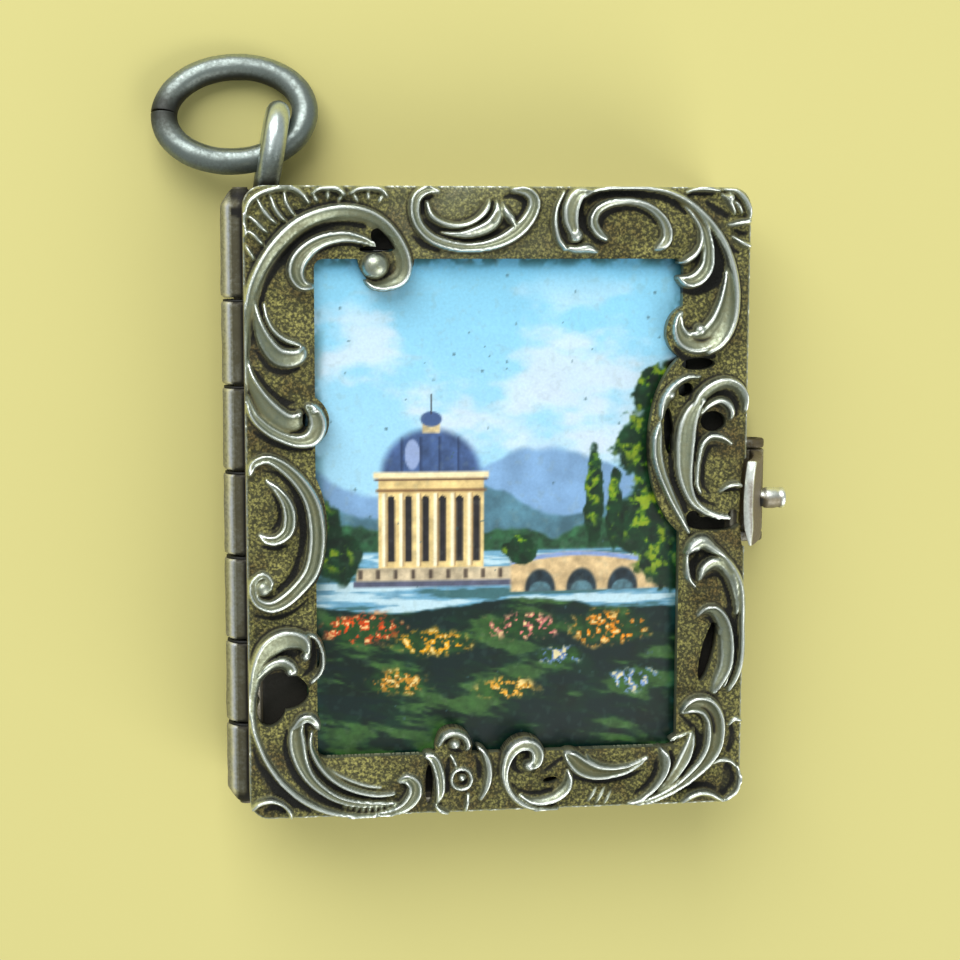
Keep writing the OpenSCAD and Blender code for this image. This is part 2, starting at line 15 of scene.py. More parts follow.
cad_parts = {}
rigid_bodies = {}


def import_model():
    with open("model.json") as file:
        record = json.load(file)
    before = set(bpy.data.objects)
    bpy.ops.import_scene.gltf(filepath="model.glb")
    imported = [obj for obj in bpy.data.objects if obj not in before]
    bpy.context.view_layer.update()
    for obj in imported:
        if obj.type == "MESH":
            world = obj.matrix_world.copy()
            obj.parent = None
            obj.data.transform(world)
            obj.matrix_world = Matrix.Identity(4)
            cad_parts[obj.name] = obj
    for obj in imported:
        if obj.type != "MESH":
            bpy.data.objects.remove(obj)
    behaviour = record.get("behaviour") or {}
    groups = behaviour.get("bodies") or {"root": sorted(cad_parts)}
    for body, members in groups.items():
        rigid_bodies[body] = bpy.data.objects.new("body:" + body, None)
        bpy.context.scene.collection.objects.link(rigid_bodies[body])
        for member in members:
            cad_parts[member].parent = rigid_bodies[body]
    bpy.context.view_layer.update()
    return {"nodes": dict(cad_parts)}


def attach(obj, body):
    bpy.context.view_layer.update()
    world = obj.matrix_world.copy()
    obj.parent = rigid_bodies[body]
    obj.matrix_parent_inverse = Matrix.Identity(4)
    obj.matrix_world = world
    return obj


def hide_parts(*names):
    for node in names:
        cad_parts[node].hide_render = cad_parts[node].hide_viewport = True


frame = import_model()
MM = 0.001  # one millimetre in metres

# %% [markdown]
# ## Sizes
# A goldsmith works in millimetres, and so does this file. A mesh is turned into metres only when it is
# made. The sizes are those of the CAD source, so that each piece sits where its solid sits. The covers come
# first, then the spine, the plaque with its frame, the hasp and the links of wire.

# %% Sizes in millimetres
COVER_W, COVER_H, CORNER_R, WALL = 20.0, 25.0, 0.8, 0.5
BACK_TOP, BACK_FLOOR = 2.45, 0.45
FRONT_LOW, FRONT_INNER, FRONT_FLOOR, FRONT_RIM = 2.55, 3.5, 3.9, 4.4
SPINE_BAR = 1.4
HINGE_X, HINGE_Z, HINGE_LONG = -10.05, 2.5, 24.9
BARREL_R, PITCH, KNUCKLES, KNUCKLE_GAP, CONE = 0.8, 3.42, 7, 0.12, 0.7
COVE_R = 0.88
WINDOW_W, WINDOW_H, WINDOW_DROP, LAP = 14.6, 19.8, 0.2, 0.35
PLAQUE_T, PLAQUE_DOME, PLAQUE_Z = 0.33, 0.3, 3.91
FRAME_Z, GROUND_Z, RELIEF_TOP = 4.42, 5.02, 5.62
HASP_W, HASP_T, HASP_MID = 3.45, 0.4, -0.1
HASP_FOOT, HASP_TIP, HASP_BOW = (11.35, 0.9), (10.15, 5.22), 0.25
HASP_KNUCKLE_R, LUG_T, LUG_GAP = 0.5, 0.38, 0.06
KNOB_SHARE = 0.6  # where the knob stands along the hasp
LOOP_WIRE, LOOP_R, LOOP_STRAIGHT, LOOP_LEAN = 0.425, 1.135, 0.7, 10.0
LOOP_X, LOOP_Y, LOOP_Z = -9.0, 13.9425, 1.62
RING_WIRE, RING_A, RING_B, RING_TURN, RING_TILT = 0.53, 2.795, 1.945, 6.0, 16.15
RING_AT = (-10.174, 15.343, 1.081)
print("covers", COVER_W, "by", COVER_H, "mm")

# %% [markdown]
# ## Camera
# The photograph is taken from almost straight above, a little from the foot and from one side. The camera
# was fitted to the cover's four corners and the knuckles, so its place and turns are named values here.

# %% Camera
CAMERA_TURNS = (7.73, 7.92, 0.91)  # degrees about X, Y and Z
CAMERA_SLIDE = (0.81, -0.99, -80.0)  # how the locket lies before the lens
CAMERA_LENS = 75.7
AIM_HEIGHT = 5.0  # the frame's ground, at which the camera was fitted
SENSOR, NEAREST, FARTHEST = 36.0, 0.005, 5.0


def turn_matrix(x, y, z):
    """The turn about X, then Y, then Z, in degrees."""
    return (Matrix.Rotation(math.radians(z), 3, "Z") @ Matrix.Rotation(math.radians(y), 3, "Y")
            @ Matrix.Rotation(math.radians(x), 3, "X"))


def add_camera():
    """The camera at the photograph's angle."""
    turns = turn_matrix(*CAMERA_TURNS)
    place = -(turns.transposed() @ Vector(CAMERA_SLIDE)) + Vector((0, 0, AIM_HEIGHT))
    data = bpy.data.cameras.new("camera")
    data.lens, data.sensor_width, data.sensor_fit = CAMERA_LENS, SENSOR, "HORIZONTAL"
    data.clip_start, data.clip_end = NEAREST, FARTHEST
    camera = bpy.data.objects.new("camera", data)
    camera.matrix_world = Matrix.Translation(place * MM) @ turns.transposed().to_4x4()
    bpy.context.scene.collection.objects.link(camera)
    bpy.context.scene.camera = camera
    return camera


camera = add_camera()
print("camera at", [round(v, 4) for v in camera.location])

# %% [markdown]
# ## Helpers for meshes
# Rings of points joined into a closed skin make the trays, the hasp and the knob. Such a skin is lighter
# than a cut and bevelled block, and its edges are rounded by the rings themselves.


# %% Mesh helpers
MERGE = 0.0005  # points nearer than this are one


def add_piece(name, points, faces):
    """A new smooth object from points in millimetres."""
    mesh = bpy.data.meshes.new(name)
    mesh.from_pydata([tuple(float(v) * MM for v in p) for p in points], [], faces)
    mesh.validate()
    mesh.polygons.foreach_set("use_smooth", [True] * len(mesh.polygons))
    piece = bpy.data.objects.new(name, mesh)
    bpy.context.scene.collection.objects.link(piece)
    return piece


def bake_modifiers(piece):
    """The object's evaluated shape as its plain mesh, without modifiers."""
    bpy.context.view_layer.update()
    shape = piece.evaluated_get(bpy.context.evaluated_depsgraph_get())
    mesh = bpy.data.meshes.new_from_object(shape)
    piece.modifiers.clear()
    piece.data = mesh
    mesh.name = piece.name
    return piece


def tidy_mesh(piece):
    """Merges doubles, turns all faces outwards and shades them smooth."""
    work = bmesh.new()
    work.from_mesh(piece.data)
    bmesh.ops.remove_doubles(work, verts=work.verts, dist=MERGE * MM)
    bmesh.ops.recalc_face_normals(work, faces=work.faces)
    for face in work.faces:
        face.smooth = True
    work.to_mesh(piece.data)
    open_edges = sum(1 for edge in work.edges if not edge.is_manifold)
    work.free()
    print(piece.name, len(piece.data.polygons), "faces,", open_edges, "open edges")
    return piece


print("points nearer than", MERGE, "mm are merged")


# %% Rings and skins
CORNER_STEPS = 6
SIDE_STEP = 0.6
wide_steps = int(round((COVER_W - 2) / SIDE_STEP))
high_steps = int(round((COVER_H - 2) / SIDE_STEP))


def rounded_ring(x0, x1, y0, y1, r, z):
    """A rounded rectangle of points at height z, with its sides divided."""
    points = []
    corners = ((x1 - r, y1 - r, 0), (x0 + r, y1 - r, 90), (x0 + r, y0 + r, 180), (x1 - r, y0 + r, 270))
    for number, (cx, cy, start) in enumerate(corners):
        for step in range(CORNER_STEPS + 1):
            a = math.radians(start + 90 * step / CORNER_STEPS)
            points.append((cx + r * math.cos(a), cy + r * math.sin(a), z))
        following = corners[(number + 1) % 4]
        a = math.radians(following[2])
        first, last = points[-1], (following[0] + r * math.cos(a), following[1] + r * math.sin(a), z)
        count = wide_steps if number % 2 == 0 else high_steps
        for step in range(1, count):
            t = step / count
            points.append((first[0] + (last[0] - first[0]) * t, first[1] + (last[1] - first[1]) * t, z))
    return points


def skin(name, rings):
    """A closed skin through rings of equal length, capped at both ends."""
    n = len(rings[0])
    points = [p for ring in rings for p in ring]
    faces = []
    for j in range(len(rings) - 1):
        a, b = j * n, (j + 1) * n
        faces += [(a + i, a + (i + 1) % n, b + (i + 1) % n, b + i) for i in range(n)]
    faces.append(tuple(range(n - 1, -1, -1)))
    faces.append(tuple(range((len(rings) - 1) * n, len(rings) * n)))
    return add_piece(name, points, faces)


def circle(r, sides):
    """Points of a circle about zero, as pairs."""
    turns = [2 * math.pi * i / sides for i in range(sides)]
    return [(r * math.cos(a), r * math.sin(a)) for a in turns]


def turned_x(name, profile, place, sides):
    """A profile of (distance along, radius) turned about a line along X."""
    x, y, z = place
    return tidy_mesh(skin(name, [[(x + d, y + a, z + b) for a, b in circle(r, sides)] for d, r in profile]))


def turned_y(name, profile, place, sides):
    """A profile of (distance along, radius) turned about a line along Y."""
    x, y, z = place
    return tidy_mesh(skin(name, [[(x + a, y + d, z + b) for a, b in circle(r, sides)] for d, r in profile]))


print("rings of", 4 * CORNER_STEPS + 2 * (wide_steps + high_steps), "points")


# %% Cutting tools
ROD_SIDES = 48


def cut(piece, tool):
    """Cuts the tool's shape out of the piece, and deletes the tool."""
    step = piece.modifiers.new("cut", "BOOLEAN")
    step.operation, step.solver, step.object = "DIFFERENCE", "EXACT", tool
    bake_modifiers(piece)
    bpy.data.objects.remove(tool)


def rod_tool(name, r, x, z, low, high):
    """A round rod along Y."""
    return turned_y(name, ((low, r), (high, r)), (x, 0, z), ROD_SIDES)


def box_tool(name, low, high):
    """A block between two corners."""
    ring = [(low[0], low[1]), (high[0], low[1]), (high[0], high[1]), (low[0], high[1])]
    return tidy_mesh(skin(name, [[(x, y, z) for x, y in ring] for z in (low[2], high[2])]))


print("cuts are made with rods of", ROD_SIDES, "sides and a block")


# %% [markdown]
# ## Geometry Nodes helper
# Knuckles, links of wire and the dome of the plaque follow a rule, so Geometry Nodes make them. This small
# class writes a tree with named inputs, so that each tree below reads like a recipe.


# %% Tree helper
class Tree:
    """Writes one node tree, with named inputs and short calls."""

    def __init__(self, name, kind="GeometryNodeTree"):
        self.tree = bpy.data.node_groups.new(name, kind)
        self.ids = {}
        self.start = self.tree.nodes.new("NodeGroupInput")
        self.end = self.tree.nodes.new("NodeGroupOutput")

    def ask(self, name, kind, default=None):
        """A named input."""
        socket = self.tree.interface.new_socket(name=name, in_out="INPUT", socket_type="NodeSocket" + kind)
        if default is not None:
            socket.default_value = default
        self.ids[name] = socket.identifier
        return self.start.outputs[name]

    def floats(self, *names):
        """Named inputs for plain numbers."""
        return [self.ask(name, "Float") for name in names]

    def give(self, name, kind, value):
        """A named output."""
        self.tree.interface.new_socket(name=name, in_out="OUTPUT", socket_type="NodeSocket" + kind)
        self.tree.links.new(value, self.end.inputs[name])

    def add(self, kind, *values, out=0, **settings):
        """A node of one kind: settings by name, then its inputs in order, None to leave one."""
        node = self.tree.nodes.new(kind)
        for name, value in settings.items():
            setattr(node, name, value)
        for number, value in enumerate(values):
            if value is None:
                continue
            if isinstance(value, bpy.types.NodeSocket):
                self.tree.links.new(value, node.inputs[number])
            else:
                node.inputs[number].default_value = value
        return node.outputs[out]

    def math(self, operation, *values):
        """A Math node."""
        return self.add("ShaderNodeMath", *values, operation=operation)

    def plus(self, first, second):
        """The sum of two values."""
        return self.math("ADD", first, second)

    def minus(self, first, second):
        """The second value taken from the first."""
        return self.math("SUBTRACT", first, second)

    def times(self, first, second):
        """The product of two values."""
        return self.math("MULTIPLY", first, second)

    def linear(self, value, gain, base):
        """The value times a gain, plus a base."""
        return self.math("MULTIPLY_ADD", value, gain, base)

    def clamped_minus(self, first, second):
        """A difference that stays from 0 to 1."""
        return self.add("ShaderNodeMath", first, second, operation="SUBTRACT", use_clamp=True)

    def span(self, value, low, high, first=0.0, last=1.0):
        """The value with its low end moved to the first number and its high end to the last."""
        return self.add("ShaderNodeMapRange", value, low, high, first, last)

    def joined(self, x, y, z):
        """A vector from three values."""
        return self.add("ShaderNodeCombineXYZ", x, y, z)

    def drift(self, place, seed, scale):
        """Smooth noise at a place that is moved by a seed."""
        moved = self.vector("ADD", place, self.joined(seed, seed, seed))
        return self.add("ShaderNodeTexNoise", moved, None, scale, 2.0, 0.5)

    def blend(self, share, first, second):
        """A mix of two colours."""
        return self.add("ShaderNodeMix", share, None, None, None, None, None, first, second,
                        data_type="RGBA", out=2)

    def vector(self, operation, *values):
        """A Vector Math node."""
        return self.add("ShaderNodeVectorMath", *values, operation=operation)

    def scaled(self, vector, by):
        """A vector times a value."""
        return self.vector("SCALE", vector, None, None, by)

    def finish(self, shape, material):
        """The tree's result: the shape as a smooth mesh with its material."""
        smooth = self.add("GeometryNodeSetShadeSmooth", shape)
        self.give("Geometry", "Geometry", self.add("GeometryNodeSetMaterial", smooth, None, material))


def grow(name, tree, values, material=None):
    """Runs a tree on a new object, and keeps its result as a plain mesh."""
    piece = bpy.data.objects.new(name, bpy.data.meshes.new(name))
    bpy.context.scene.collection.objects.link(piece)
    step = piece.modifiers.new("shape", "NODES")
    step.node_group = tree.tree
    for label, value in values.items():
        step[tree.ids[label]] = value
    if material is not None:
        step[tree.ids["Material"]] = material
    return bake_modifiers(piece)


print("trees are written by", Tree.__name__, "and run by", grow.__name__)

# %% [markdown]
# ## Aged silver
# Silver tarnishes from brown to olive and black, and handling keeps the crests bright. Two masks on each mesh
# tell where: "crest" is 1 on edges that a finger rubs and where a highlight is painted, "hollow" is 1 where
# dirt stays and where shade is painted. One node group mixes the colours, the roughness and the grain for
# every silver piece, with each piece's own values.


# %% Silver: tones and textures
SILVER_TONES = {"Bright": (0.9, 0.93, 0.87, 1), "Body": (0.5, 0.48, 0.42, 1), "Stain": (0.17, 0.13, 0.06, 1),
                "Deep": (0.008, 0.008, 0.006, 1), "Gold": (0.43, 0.4, 0.13, 1),
                "Umber": (0.035, 0.036, 0.02, 1), "Rust": (0.36, 0.23, 0.09, 1)}
PATCH_SCALE, SPECK_SCALE, PUNCH_SCALE = 520.0, 7200.0, 9000.0  # cells to a metre
SCRATCH_STRETCH = (9000.0, 1500.0, 4000.0)
NOISE_LOW, NOISE_HIGH = 0.38, 0.66  # where most of a noise lies
PLAIN_SATIN = 0.28  # roughness of clean silver


def silver_textures(t):
    """Patches of tarnish, fine specks, scratches along Y and the dots of a punch."""
    place = t.add("ShaderNodeTexCoord", out=3)
    patches = t.add("ShaderNodeTexNoise", place, None, PATCH_SCALE, 5.0, 0.65)
    specks = t.add("ShaderNodeTexNoise", place, None, SPECK_SCALE, 3.0, 0.65)
    drawn = t.vector("MULTIPLY", place, SCRATCH_STRETCH)
    scratches = t.add("ShaderNodeTexNoise", drawn, None, 1.0, 2.0, 0.5)
    punches = t.add("ShaderNodeTexVoronoi", place, None, PUNCH_SCALE)
    return patches, specks, scratches, punches


print("silver has", len(SILVER_TONES), "tones")


# %% Node group: aged silver
def silver_group():
    """Colour, roughness, metal share and height of tarnished silver."""
    t = Tree("aged silver", "ShaderNodeTree")
    crest, hollow, ground, amount, grain = t.floats("Crest", "Hollow", "Ground", "Tarnish", "Grain")
    satin = t.ask("Satin", "Float", PLAIN_SATIN)
    tones = [t.ask(name, "Color", tone) for name, tone in SILVER_TONES.items()]
    bright, body, stain, deep, gold, umber, rust = tones
    patches, specks, scratches, punches = silver_textures(t)
    patchy, speckled = t.span(patches, NOISE_LOW, NOISE_HIGH), t.span(specks, NOISE_LOW, NOISE_HIGH)
    dull = t.times(t.linear(patchy, 0.6, t.times(speckled, 0.5)), amount)
    dirt = t.clamped_minus(t.plus(dull, t.times(hollow, 0.8)), crest)
    shine = t.clamped_minus(crest, t.times(speckled, 0.25))
    deepest = t.span(t.minus(hollow, t.times(crest, 0.5)), 0.55, 1.0)
    metal = t.blend(dirt, t.blend(shine, body, bright), stain)
    grains = t.span(t.linear(punches, 0.6, t.times(specks, 1.8)), 0.88, 1.36, 1.0, 0.0)
    rusty = t.span(patches, 0.5, 0.36, 0.0, 0.75)
    rubbed = t.times(t.linear(grains, 0.85, 0.08), t.linear(patchy, 0.5, 0.5))
    stippled = t.blend(rubbed, umber, t.blend(rusty, gold, rust))
    rough = t.plus(t.times(dirt, 0.25), t.linear(specks, 0.2, satin))
    height = t.times(t.plus(t.times(specks, 0.7), t.times(scratches, 0.3)), grain)
    punched = t.times(t.times(ground, grains), 1.3)
    t.give("Color", "Color", t.blend(deepest, t.blend(ground, metal, stippled), deep))
    t.give("Roughness", "Float", t.plus(rough, t.times(ground, 0.25)))
    t.give("Metallic", "Float", t.minus(1.0, t.times(t.math("MAXIMUM", dirt, deepest), 0.7)))
    t.give("Height", "Float", t.plus(height, punched))
    return t.tree


silver_nodes = silver_group()
print("node group", silver_nodes.name)


# %% Silver finishes
BUMP_STRENGTH, BUMP_DEPTH = 0.6, 0.00004


def mask_node(nodes, name):
    """The mesh's own mask of that name."""
    node = nodes.new("ShaderNodeAttribute")
    node.attribute_name = name
    return node.outputs["Fac"]


def silver_material(name, glance=(1, 1, 1, 1), **values):
    """A metal with the mesh's masks, the group's values and a tint of what it mirrors edge on."""
    material = bpy.data.materials.new(name)
    material.use_nodes = True
    nodes, links = material.node_tree.nodes, material.node_tree.links
    surface = nodes["Principled BSDF"]
    group = nodes.new("ShaderNodeGroup")
    group.node_tree = silver_nodes
    for label, value in values.items():
        group.inputs[label.capitalize()].default_value = value
    for label in ("Crest", "Hollow", "Ground"):
        links.new(mask_node(nodes, label.lower()), group.inputs[label])
    surface.inputs["Specular Tint"].default_value = glance
    for label, socket in (("Color", "Base Color"), ("Roughness", "Roughness"), ("Metallic", "Metallic")):
        links.new(group.outputs[label], surface.inputs[socket])
    bump = nodes.new("ShaderNodeBump")
    bump.inputs["Strength"].default_value = BUMP_STRENGTH
    bump.inputs["Distance"].default_value = BUMP_DEPTH
    links.new(group.outputs["Height"], bump.inputs["Height"])
    links.new(bump.outputs["Normal"], surface.inputs["Normal"])
    return material


worn_silver = silver_material("worn silver", tarnish=0.55, grain=0.5, body=(0.36, 0.345, 0.3, 1))
spine_silver = silver_material("spine silver", glance=(0.55, 0.52, 0.6, 1), tarnish=0.75, grain=0.6,
                               bright=(0.9, 0.9, 0.98, 1), body=(0.3, 0.305, 0.25, 1),
                               stain=(0.11, 0.1, 0.055, 1))
hasp_silver = silver_material("hasp silver", glance=(0.35, 0.33, 0.33, 1), tarnish=0.6, grain=0.5,
                              satin=0.36, body=(0.34, 0.29, 0.24, 1), stain=(0.15, 0.135, 0.1, 1))
wire_silver = silver_material("wire silver", tarnish=0.55, grain=0.4, satin=0.22,
                              bright=(0.66, 0.73, 0.72, 1), body=(0.235, 0.275, 0.26, 1),
                              stain=(0.06, 0.068, 0.055, 1))
cast_silver = silver_material("cast silver", tarnish=0.75, grain=0.6, bright=(0.69, 0.73, 0.69, 1),
                              body=(0.27, 0.3, 0.215, 1), stain=(0.14, 0.13, 0.055, 1))
# dark silver for the pins, and for the gap discs, lugs and hasp knuckle, which are painted dark as shade
dark_silver = silver_material("dark silver", tarnish=0.9, grain=0.6, body=(0.13, 0.13, 0.11, 1))
finishes = (worn_silver, spine_silver, hasp_silver, wire_silver, cast_silver, dark_silver)
print("silver finishes", [finish.name for finish in finishes])

# %% [markdown]
# ## Wear masks
# A rubbed edge is where the surface bends outwards, and a dirty one where it bends inwards. The bend is
# read from the mesh: how far each point stands out from the middle of its neighbours.


# %% Masks by rule
def step(value, low, high):
    """0 below the low value, 1 above the high one."""
    return min(max((value - low) / (high - low), 0.0), 1.0)


def set_mask(mesh, name, values):
    """Stores one number for each point of a mesh."""
    layer = mesh.attributes.get(name) or mesh.attributes.new(name, "FLOAT", "POINT")
    layer.data.foreach_set("value", np.clip(values, 0, 1).astype(np.float32))


def mark_rule(piece, rule):
    """Adds to both masks what a rule of place and direction gives: rub and painted highlight, then dirt and
    painted shade.
    """
    mesh = piece.data
    added = np.array([rule(v.co / MM, v.normal) for v in mesh.vertices])
    for k, name in enumerate(("crest", "hollow")):
        old = np.zeros(len(mesh.vertices), np.float32)
        if mesh.attributes.get(name):
            mesh.attributes[name].data.foreach_get("value", old)
        set_mask(mesh, name, old + added[:, k])


print("masks: crest, hollow and ground")


# %% Masks by the bend of the surface
CREST_GAIN, HOLLOW_GAIN = 4, 5


def mark_wear(piece, crest_gain, hollow_gain, rounds):
    """Crest and hollow masks from the bend of the surface, evened over its neighbours in rounds."""
    mesh = piece.data
    n = len(mesh.vertices)
    at = np.empty(n * 3, np.float32)
    mesh.vertices.foreach_get("co", at)
    at = at.reshape(-1, 3) / MM
    out = np.empty(n * 3, np.float32)
    mesh.vertices.foreach_get("normal", out)
    out = out.reshape(-1, 3)
    ends = np.empty(len(mesh.edges) * 2, np.int32)
    mesh.edges.foreach_get("vertices", ends)
    a, b = ends.reshape(-1, 2).T
    count = np.maximum(np.bincount(a, minlength=n) + np.bincount(b, minlength=n), 1)

    def around(values):
        return (np.bincount(a, values[b], n) + np.bincount(b, values[a], n)) / count

    middle = np.stack([around(at[:, k]) for k in range(3)], 1)
    span = np.linalg.norm(at[a] - at[b], axis=1)
    reach = (np.bincount(a, span, n) + np.bincount(b, span, n)) / count
    bend = ((at - middle) * out).sum(1) / np.maximum(reach, 1e-4)
    for _ in range(rounds):
        bend = 0.5 * bend + 0.5 * around(bend)
    set_mask(mesh, "crest", bend * CREST_GAIN * crest_gain)
    set_mask(mesh, "hollow", -bend * HOLLOW_GAIN * hollow_gain)


def finish_piece(piece, material, body, node):
    """Material, body and replaced node of one piece."""
    piece.data.materials.clear()
    piece.data.materials.append(material)
    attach(piece, body)
    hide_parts(node)
    print("finished", piece.name, "on", body)


print("bends count", CREST_GAIN, "times on crests and", HOLLOW_GAIN, "times in hollows")

# %% [markdown]
# ## The two trays
# Each cover is a shallow tray of silver sheet with a solid bar along the spine. Rings from the outer edge
# to the inner floor make it, with small rings at every edge for the rounding of long wear. The coves in
# which the other leaf's knuckles turn are then cut out of the bar.

# %% Tray rings
EDGE = 0.09  # radius of the worn edges
HALF_W, HALF_H = COVER_W / 2, COVER_H / 2


def inset(by):
    """The cover's bounds, drawn in by a distance."""
    return (-HALF_W + by, HALF_W - by, -HALF_H + by, HALF_H - by)


def hollow_bounds(by):
    """The bounds of a tray's hollow, drawn in by a distance."""
    return (-HALF_W + SPINE_BAR + by, HALF_W - WALL - by, -HALF_H + WALL + by, HALF_H - WALL - by)


def recess_bounds(by):
    """The bounds of the recess for the plaque, drawn in by a distance."""
    return inset(WALL + by)


def outer_wall(low, high):
    """The outer wall's rings, rounded at both edges."""
    r, bit = CORNER_R, EDGE * 0.3
    steps = [(inset(EDGE), r - EDGE, low), (inset(bit), r - bit, low + bit),
             (inset(0), r, low + EDGE), (inset(0), r, low + EDGE * 2.2)]
    middle = [(inset(0), r, low + (high - low) * share) for share in (0.35, 0.5, 0.65)]
    back = [(bounds, radius, high + low - z) for bounds, radius, z in reversed(steps)]
    return steps + middle + back


def inner_wall(low, high, bounds):
    """The hollow's rings, from its rim down to its floor."""
    r, bit = INNER_R, EDGE * 0.3
    return [(bounds(-EDGE), r + EDGE, high), (bounds(-bit), r + bit, high - bit), (bounds(0), r, high - EDGE),
            (bounds(0), r, low + EDGE), (bounds(EDGE), r - EDGE, low), (bounds(EDGE * 2), r - EDGE * 2, low)]


def tray_skin(name, steps):
    """A tray through its rings: each step is its bounds, its corner radius and its height."""
    rings = [rounded_ring(*bounds, r, z) for bounds, r, z in steps]
    return tidy_mesh(skin(name, rings))


print("edges are rounded by", EDGE, "mm")


# %% The coves and both trays
INNER_R = 0.3
COVE_PLAY, NOTCH_DEEP = 0.03, 0.2
own_low, own_high = -HINGE_LONG / 2 - 1, HINGE_LONG / 2 + 1
NOTCH_LOW = (HALF_W - NOTCH_DEEP, HASP_MID - HASP_W / 2 - LUG_GAP, FRONT_LOW - 0.01)
NOTCH_HIGH = (HALF_W + 1, HASP_MID + HASP_W / 2 + LUG_GAP, 8.0)


def cut_coves(piece, turning):
    """Cuts room for the knuckles: snug for the tray's own, and wider for the other leaf's."""
    cut(piece, rod_tool("own", BARREL_R - COVE_PLAY, HINGE_X, HINGE_Z, own_low, own_high))
    for k in turning:
        below = WALL if k == 0 else KNUCKLE_GAP / 2
        start = -HINGE_LONG / 2 + k * PITCH - below
        stop = -HINGE_LONG / 2 + (k + 1) * PITCH + KNUCKLE_GAP / 2
        if k == KNUCKLES - 1:
            stop = HINGE_LONG / 2 + WALL
        cut(piece, rod_tool("cove", COVE_R, HINGE_X, HINGE_Z, start, stop))


back_steps = [(inset(EDGE * 2), CORNER_R - EDGE * 2, 0)] + outer_wall(0, BACK_TOP)
back_tray = tray_skin("back_tray", back_steps + inner_wall(BACK_FLOOR, BACK_TOP, hollow_bounds))
cut_coves(back_tray, range(1, KNUCKLES, 2))
tidy_mesh(back_tray)

under = [(hollow_bounds(EDGE), INNER_R - EDGE, FRONT_INNER), (hollow_bounds(0), INNER_R, FRONT_INNER),
         (hollow_bounds(0), INNER_R, FRONT_LOW + EDGE),
         (hollow_bounds(-EDGE * 0.3), INNER_R + 0.03, FRONT_LOW + EDGE * 0.3),
         (hollow_bounds(-EDGE), INNER_R + EDGE, FRONT_LOW)]
over = inner_wall(FRONT_FLOOR, FRONT_RIM, recess_bounds)
front_tray = tray_skin("front_tray", under + outer_wall(FRONT_LOW, FRONT_RIM) + over)
cut_coves(front_tray, range(0, KNUCKLES, 2))
cut(front_tray, box_tool("notch", NOTCH_LOW, NOTCH_HIGH))
tidy_mesh(front_tray)


# %% Wear of the trays, with painted shade
RIM_REACH = EDGE * 1.2
RIM_RUB, WALL_RUB = 0.85, 0.05
# the spine side is painted in shade, and the recess floor under the frame in shade and tarnish
FLOOR_SHADE_AND_TARNISH, INSIDE_DIRT, SPINE_SHADE, WALL_DIRT = 1.0, 0.66, 0.55, 0.3


def tray_masks(x, y, z):
    """Rub, dirt and painted shade at one point: bright rims along the rounded edges, and dull walls between
    them.
    """
    side = min(HALF_W - abs(x), HALF_H - abs(y))
    edge = min(abs(z - level) for level in (BACK_TOP, 0, FRONT_RIM, FRONT_LOW))
    at_spine = x < -HALF_W + 0.3
    at_rim = edge < RIM_REACH and side < RIM_REACH
    rub = RIM_RUB if at_rim else WALL_RUB
    dirt = WALL_DIRT
    # the spine side, beside the knuckles, is painted dark as shade
    if at_spine:
        rub, dirt = 0.0, SPINE_SHADE
    # inside the hollow: the recess floor under the frame is painted dark as shade and tarnish
    if side > WALL + 0.05:
        dirt = FLOOR_SHADE_AND_TARNISH if z > FRONT_FLOOR - 0.05 else INSIDE_DIRT
    return rub, dirt


for tray, body, node in ((back_tray, "back", "back_cover"), (front_tray, "front", "front_cover")):
    mark_rule(tray, lambda p, n: tray_masks(*p))
    finish_piece(tray, worn_silver, body, node)

# %% [markdown]
# ## The knuckles of the spine
# Seven short tubes turn on one pin, four soldered to the back and three to the front. They repeat at an
# even pitch, which is a rule, so Geometry Nodes set one tube at every second place of each leaf. A noise
# field dents them, because this spine has been carried for long.


# %% Tree: spine knuckles
TUBE_STEPS, TUBE_SIDES = 44, 56
CONE_SHARE = 0.58  # how much thinner an outer end becomes
DENT_SCALE, DENT_LEVEL = 0.9, 0.62


